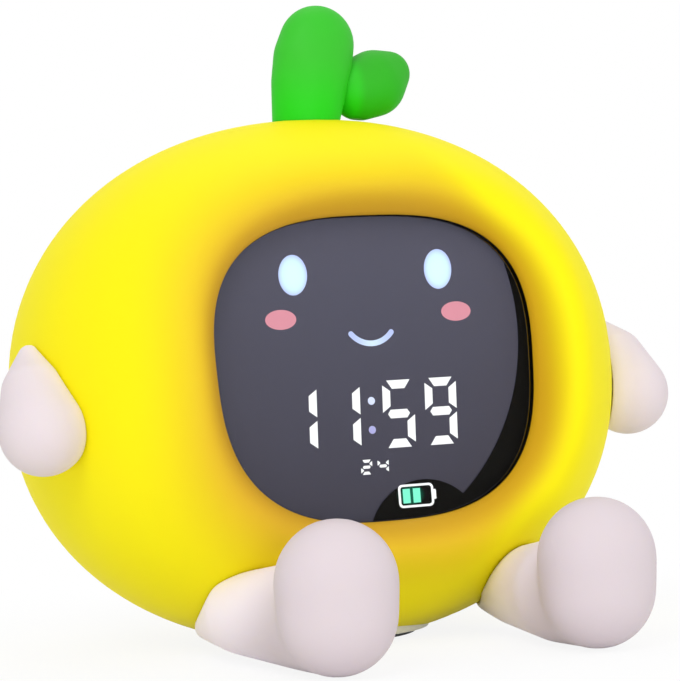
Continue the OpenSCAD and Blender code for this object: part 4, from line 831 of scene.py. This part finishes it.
# %% Lens and panel
def flat(points, top, bottom):
    """A flat plate with an outline in the display's plane, between two depths under the lens's face."""
    bpy.ops.object.select_all(action="DESELECT")
    bpy.ops.mesh.primitive_circle_add(vertices=len(points), fill_type="NGON")
    made = bpy.context.object
    for point, v in zip(points, made.data.vertices):
        p = on_display(point, -bottom)
        v.co = (p[0], p[1], p[2] + MIDDLE)
    select_only(made)
    bpy.ops.object.mode_set(mode="EDIT")
    bpy.ops.mesh.select_all(action="SELECT")
    out = (0, -math.cos(LEAN) * (bottom - top), math.sin(LEAN) * (bottom - top))
    bpy.ops.mesh.extrude_region_move(TRANSFORM_OT_translate={"value": out})
    bpy.ops.object.mode_set(mode="OBJECT")
    return made


def plate(grow, top, bottom):
    """A flat plate with the display's own outline."""
    return flat([outline(2 * math.pi * i / SECTORS, grow) for i in range(SECTORS)], top, bottom)


def rounded(wide, tall, r, at):
    """The outline of a rectangle with round corners, in millimetres."""
    points = []
    for k in range(4):
        centre = ((wide / 2 - r) * (1, -1, -1, 1)[k], (tall / 2 - r) * (1, 1, -1, -1)[k])
        for j in range(9):
            a = math.pi / 2 * (k + j / 8)
            x, y = at[0] + centre[0] + r * math.cos(a), at[1] + centre[1] + r * math.sin(a)
            points.append((x * MM, y * MM))
    return points


def copy_of(name):
    """A copy of a solid with its doubles merged."""
    select_only(frame["nodes"][name])
    bpy.ops.object.duplicate()
    made = bpy.context.object
    outward(made)
    return made


def thicker(cutter, more):
    """Moves a flat cutter's two faces apart, so that they don't lie in the faces that they cut."""
    depths = [v.co.dot(facing) for v in cutter.data.vertices]
    middle = (min(depths) + max(depths)) / 2
    for depth, v in zip(depths, cutter.data.vertices):
        v.co += facing * math.copysign(more, depth - middle)
    return cutter


facing = Vector((0, -math.cos(LEAN), math.sin(LEAN)))
SHOW_GAP = 0.1 * MM
LENS_T, LENS_ROUND = 1.8 * MM, 0.15 * MM
SIDE_ON = 0.2
lens = plate(-SHOW_GAP, 0, LENS_T)
round_edge = lens.modifiers.new("round", "BEVEL")
round_edge.width = LENS_ROUND
round_edge.segments = 3
round_edge.limit_method = "ANGLE"
apply_all(lens)
outward(lens)
bpy.ops.object.shade_smooth_by_angle(angle=math.radians(35))
dress(lens, "display_lens", smoked_clear, "clock", "smoked_lens", "smoked_lens")
lens.data.materials.append(black_film)
for face in lens.data.polygons:
    face.material_index = 1 if abs(face.normal.dot(facing)) < SIDE_ON else 0

PANEL_FACE, PANEL_BACK = 2.1 * MM, 2.9 * MM
CUT_MORE = 0.3 * MM
LIT = ("eye_lights", "cheek_lights", "smile_light", "time_lights", "colon_lights", "day_lights",
       "battery_bars")
panel = plate(-SHOW_GAP, PANEL_FACE, PANEL_BACK)
cut(panel, *[thicker(copy_of(name), CUT_MORE) for name in LIT])
dress(panel, "display_panel", panel_finish, "clock", "panel_grey", "screen_panel", "unlit_bars")

# %% [markdown]
# # Battery sign
# The sign is a thin white frame with rounded corners and a small nub at one end. It lies just behind the
# lens, at the depth of the black film. Its solid leaves two narrow bridges of film, and the light spreads
# over them, so the frame is made whole here. The two green bars inside it are solids of their own.

# %% Battery sign
SIGN_AT, SIGN_WIDE, SIGN_TALL, SIGN_LINE = (6.8, -26.3), 7.9, 4.7, 0.45
SIGN_ROUND = 1
NUB_WIDE, NUB_TALL, NUB_ROUND, NUB_OUT = 0.7, 2, 0.15, 0.2
SIGN_TOP, SIGN_LOW = 1.82 * MM, 2.08 * MM
sign = flat(rounded(SIGN_WIDE, SIGN_TALL, SIGN_ROUND, SIGN_AT), SIGN_TOP, SIGN_LOW)
inside = rounded(SIGN_WIDE - 2 * SIGN_LINE, SIGN_TALL - 2 * SIGN_LINE, SIGN_ROUND - SIGN_LINE, SIGN_AT)
cut(sign, flat(inside, SIGN_TOP - 1 * MM, SIGN_LOW + 1 * MM))
nub_at = (SIGN_AT[0] + SIGN_WIDE / 2 + NUB_OUT, SIGN_AT[1])
nub = flat(rounded(NUB_WIDE, NUB_TALL, NUB_ROUND, nub_at), SIGN_TOP, SIGN_LOW)
select_only(sign, nub)
bpy.ops.object.join()
outward(sign)
dress(sign, "battery_outline", white_light, "clock", "white_light", "battery_sign")

# %% [markdown]
# # Keys, knob, cover and base
# Moulded edges are never sharp, so these pieces are copies of their solids with a small round on each
# edge.

# %% Rounded mouldings
def softened(name, new_name, width, finish, body, slot):
    """A copy of a solid with small rounds on its edges, in its place."""
    made = copy_of(name)
    rounds = made.modifiers.new("rounds", "BEVEL")
    rounds.width = width * MM
    rounds.segments = 3
    rounds.limit_method = "ANGLE"
    rounds.angle_limit = math.radians(50)
    apply_all(made)
    bpy.ops.object.shade_smooth_by_angle(angle=math.radians(35))
    dress(made, new_name, finish, body, slot, name)


KEYS = ("mode", "down", "set", "up", "light")
for key in KEYS:
    softened(key + "_key", "key_" + key, 0.3, key_white, key + "_button", "key_white")
softened("slide_knob", "knob_slide", 0.2, key_white, "slide_button", "key_white")
softened("rear_cover", "cover_rear", 0.25, cover_yellow, "clock", "yellow_plastic")
softened("base_plate", "plate_base", 0.4, white_plastic, "clock", "white_plastic")
softened("base_pad", "pad_base", 0.3, dark_rubber, "clock", "dark_rubber")

# %% [markdown]
# # The spring under the sprout
# The spring stands in the guide and gets shorter when the sprout is pressed down. Here it is a copy of its
# solid with a mesh of its own, and keeps the shape that the solid has.

# %% Spring
coil = dress(copy_of("sprout_spring"), "coil_sprout", steel, "clock", "steel", "sprout_spring")
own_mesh(coil)

# %% [markdown]
# # Marks on the keys
# The keys have printed marks: lines for the menu, arrows for down and up, a dot for set and a sun for the
# light. Each is a circle whose points are laid along an outline and which is then extruded by a tenth of
# a millimetre.

# %% Marks on the keys
MARK_SUNK, MARK_T = 0.04 * MM, 0.1 * MM


def turned(points, angle):
    """An outline turned about its middle."""
    c, s = math.cos(angle), math.sin(angle)
    return [(x * c - y * s, x * s + y * c) for x, y in points]


def mark(key, outlines):
    """Thin printed shapes on a key's face; x runs to the right as seen from behind."""
    low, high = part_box(key + "_key")
    centre = ((low[0] + high[0]) / 2, (low[2] + high[2]) / 2)
    shapes = []
    for points in outlines:
        bpy.ops.object.select_all(action="DESELECT")
        bpy.ops.mesh.primitive_circle_add(vertices=len(points), fill_type="NGON")
        shape = bpy.context.object
        for (x, y), v in zip(points, shape.data.vertices):
            v.co = (centre[0] - x * MM, high[1] - MARK_SUNK, centre[1] + y * MM)
        select_only(shape)
        bpy.ops.object.mode_set(mode="EDIT")
        bpy.ops.mesh.select_all(action="SELECT")
        bpy.ops.mesh.extrude_region_move(TRANSFORM_OT_translate={"value": (0, MARK_T, 0)})
        bpy.ops.object.mode_set(mode="OBJECT")
        shapes.append(shape)
    select_only(*shapes)
    if len(shapes) > 1:
        bpy.ops.object.join()
    outward(shapes[0])
    dress(shapes[0], "mark_" + key, mark_grey, key + "_button", "black_film")


mark_grey = moulded("mark print", colour(120, 112, 112), 0.55)
DOT_R = 0.75
DOT = [(DOT_R * math.cos(k * math.pi / 12), DOT_R * math.sin(k * math.pi / 12)) for k in range(24)]
ARROW = [(-1.2, -0.7), (1.2, -0.7), (0, 1.1)]
BAR = [(-1.2, -0.2), (1.2, -0.2), (1.2, 0.2), (-1.2, 0.2)]
RAY = [(1.1, -0.14), (1.7, -0.14), (1.7, 0.14), (1.1, 0.14)]
mark("mode", [[(x, y + shift) for x, y in BAR] for shift in (-0.9, 0, 0.9)])
mark("down", [turned(ARROW, math.pi)])
mark("set", [DOT])
mark("up", [ARROW])
mark("light", [DOT] + [turned(RAY, k * math.pi / 4) for k in range(8)])

# %% [markdown]
# # Finishes for the solids that stay
# The other solids already have their true shapes, so they keep them and only get their finishes.

# %% Finishes of the solids
FINISHES = {
    "white_plastic": white_plastic, "black_plastic": black_plastic, "key_white": key_white,
    "yellow_plastic": cover_yellow, "steel": steel, "board_green": board_green, "led_cream": led_cream,
    "black_film": black_film, "panel_grey": panel_finish, "unlit_bar": unlit_finish,
    "white_light": white_light, "eye_light": eye_light, "cheek_light": cheek_light,
    "smile_light": smile_light, "mint_light": mint_light, "speaker_black": speaker_black,
    "cell_blue": cell_blue, "diffuser_white": diffuser_white, "dark_rubber": dark_rubber,
    "yellow_silicone": yellow, "pink_silicone": pink, "green_silicone": green, "smoked_lens": smoked_clear,
}
slot_of = {part["node"]: part["material_slot"] for part in frame["record"]["subparts"]}
for name, solid in frame["nodes"].items():
    solid.data.materials.clear()
    solid.data.materials.append(colon_light if name == "colon_lights" else FINISHES[slot_of[name]])
print("solids finished:", len(frame["nodes"]))

# %% [markdown]
# # Floor
# The floor is pale and plain. A camera or mirror ray sees it as plain white, mixed with a little of its
# own shading near the clock, so that a faint shadow stays. The world gives an even soft light, and the
# same rays see plain white there too.

# %% Floor
def seen_rays(nodes, links):
    """1 for the rays that show things: from the camera, from a mirror and through glass."""
    path = nodes.new("ShaderNodeLightPath")
    glossy, through = path.outputs["Is Glossy Ray"], path.outputs["Is Transmission Ray"]
    mirror = calc(nodes, links, "MAXIMUM", glossy, through)
    return calc(nodes, links, "MAXIMUM", path.outputs["Is Camera Ray"], mirror)


FLOOR_DROP = 0.2 * MM
SHADOW_NEAR, SHADOW_FAR, SHADOW_KEPT = 0.05, 0.15, 0.88
bpy.ops.object.select_all(action="DESELECT")
bpy.ops.mesh.primitive_plane_add(size=8, location=(0, 0, -FLOOR_DROP))
floor = bpy.context.object
floor.name = "floor"
floor_finish, nodes, links, shader = finish_named("pale floor")
shader.inputs["Base Color"].default_value = (0.9, 0.9, 0.9, 1)
shader.inputs["Roughness"].default_value = 0.9
shader.inputs["Specular IOR Level"].default_value = 0.0
x, y, z = object_place(nodes, links)
away = calc(nodes, links, "SQRT", squares(nodes, links, x, y))
plain = ramp(nodes, links, away, SHADOW_NEAR, SHADOW_FAR, SHADOW_KEPT, 1.0)
plain = calc(nodes, links, "MULTIPLY", seen_rays(nodes, links), plain)
white = node(nodes, "ShaderNodeEmission", Strength=1.0)
white.inputs["Color"].default_value = (1, 1, 1, 1)
both = nodes.new("ShaderNodeMixShader")
links.new(plain, both.inputs[0])
links.new(shader.outputs["BSDF"], both.inputs[1])
links.new(white.outputs["Emission"], both.inputs[2])
links.new(both.outputs["Shader"], nodes["Material Output"].inputs["Surface"])
floor.data.materials.append(floor_finish)
print("floor", round(floor.dimensions.x, 1), "m wide")

# %% [markdown]
# # World and lamps
# The world's light is even and soft. One strong lamp in front and above on the left shapes the body. A
# weak one on the right and a low one in front fill the shadows, and one above lights the top and the
# back.

# %% World and lamps
WORLD_LIGHT = 0.72
world = bpy.data.worlds.new("studio")
bpy.context.scene.world = world
world.use_nodes = True
nodes, links = world.node_tree.nodes, world.node_tree.links
level = ramp(nodes, links, seen_rays(nodes, links), 0, 1, WORLD_LIGHT, 1.0)
nodes["Background"].inputs["Color"].default_value = (1, 1, 1, 1)
links.new(level, nodes["Background"].inputs["Strength"])


def lamp(name, place, aim, size, power):
    """A round soft lamp that is aimed at a point, in metres and watts."""
    bpy.ops.object.light_add(type="AREA", location=place)
    made = bpy.context.object
    made.name = name
    made.data.shape = "DISK"
    made.data.size = size
    made.data.energy = power
    made.rotation_euler = (Vector(aim) - Vector(place)).to_track_quat("-Z", "Y").to_euler()
    print(name, power, "W")


ON_BODY, ON_FEET = (0, 0, 0.05), (0, 0, 0.02)
lamp("key lamp", (-0.7, -0.8, 0.95), ON_BODY, 0.6, 5)
lamp("fill lamp", (0.9, -0.6, 0.4), ON_BODY, 0.8, 0.6)
lamp("low lamp", (-0.1, -1.0, 0.03), ON_FEET, 0.5, 3.2)
lamp("top lamp", (0.1, 0.3, 1.1), ON_BODY, 0.7, 1.4)
bpy.context.scene.view_settings.view_transform = "Standard"
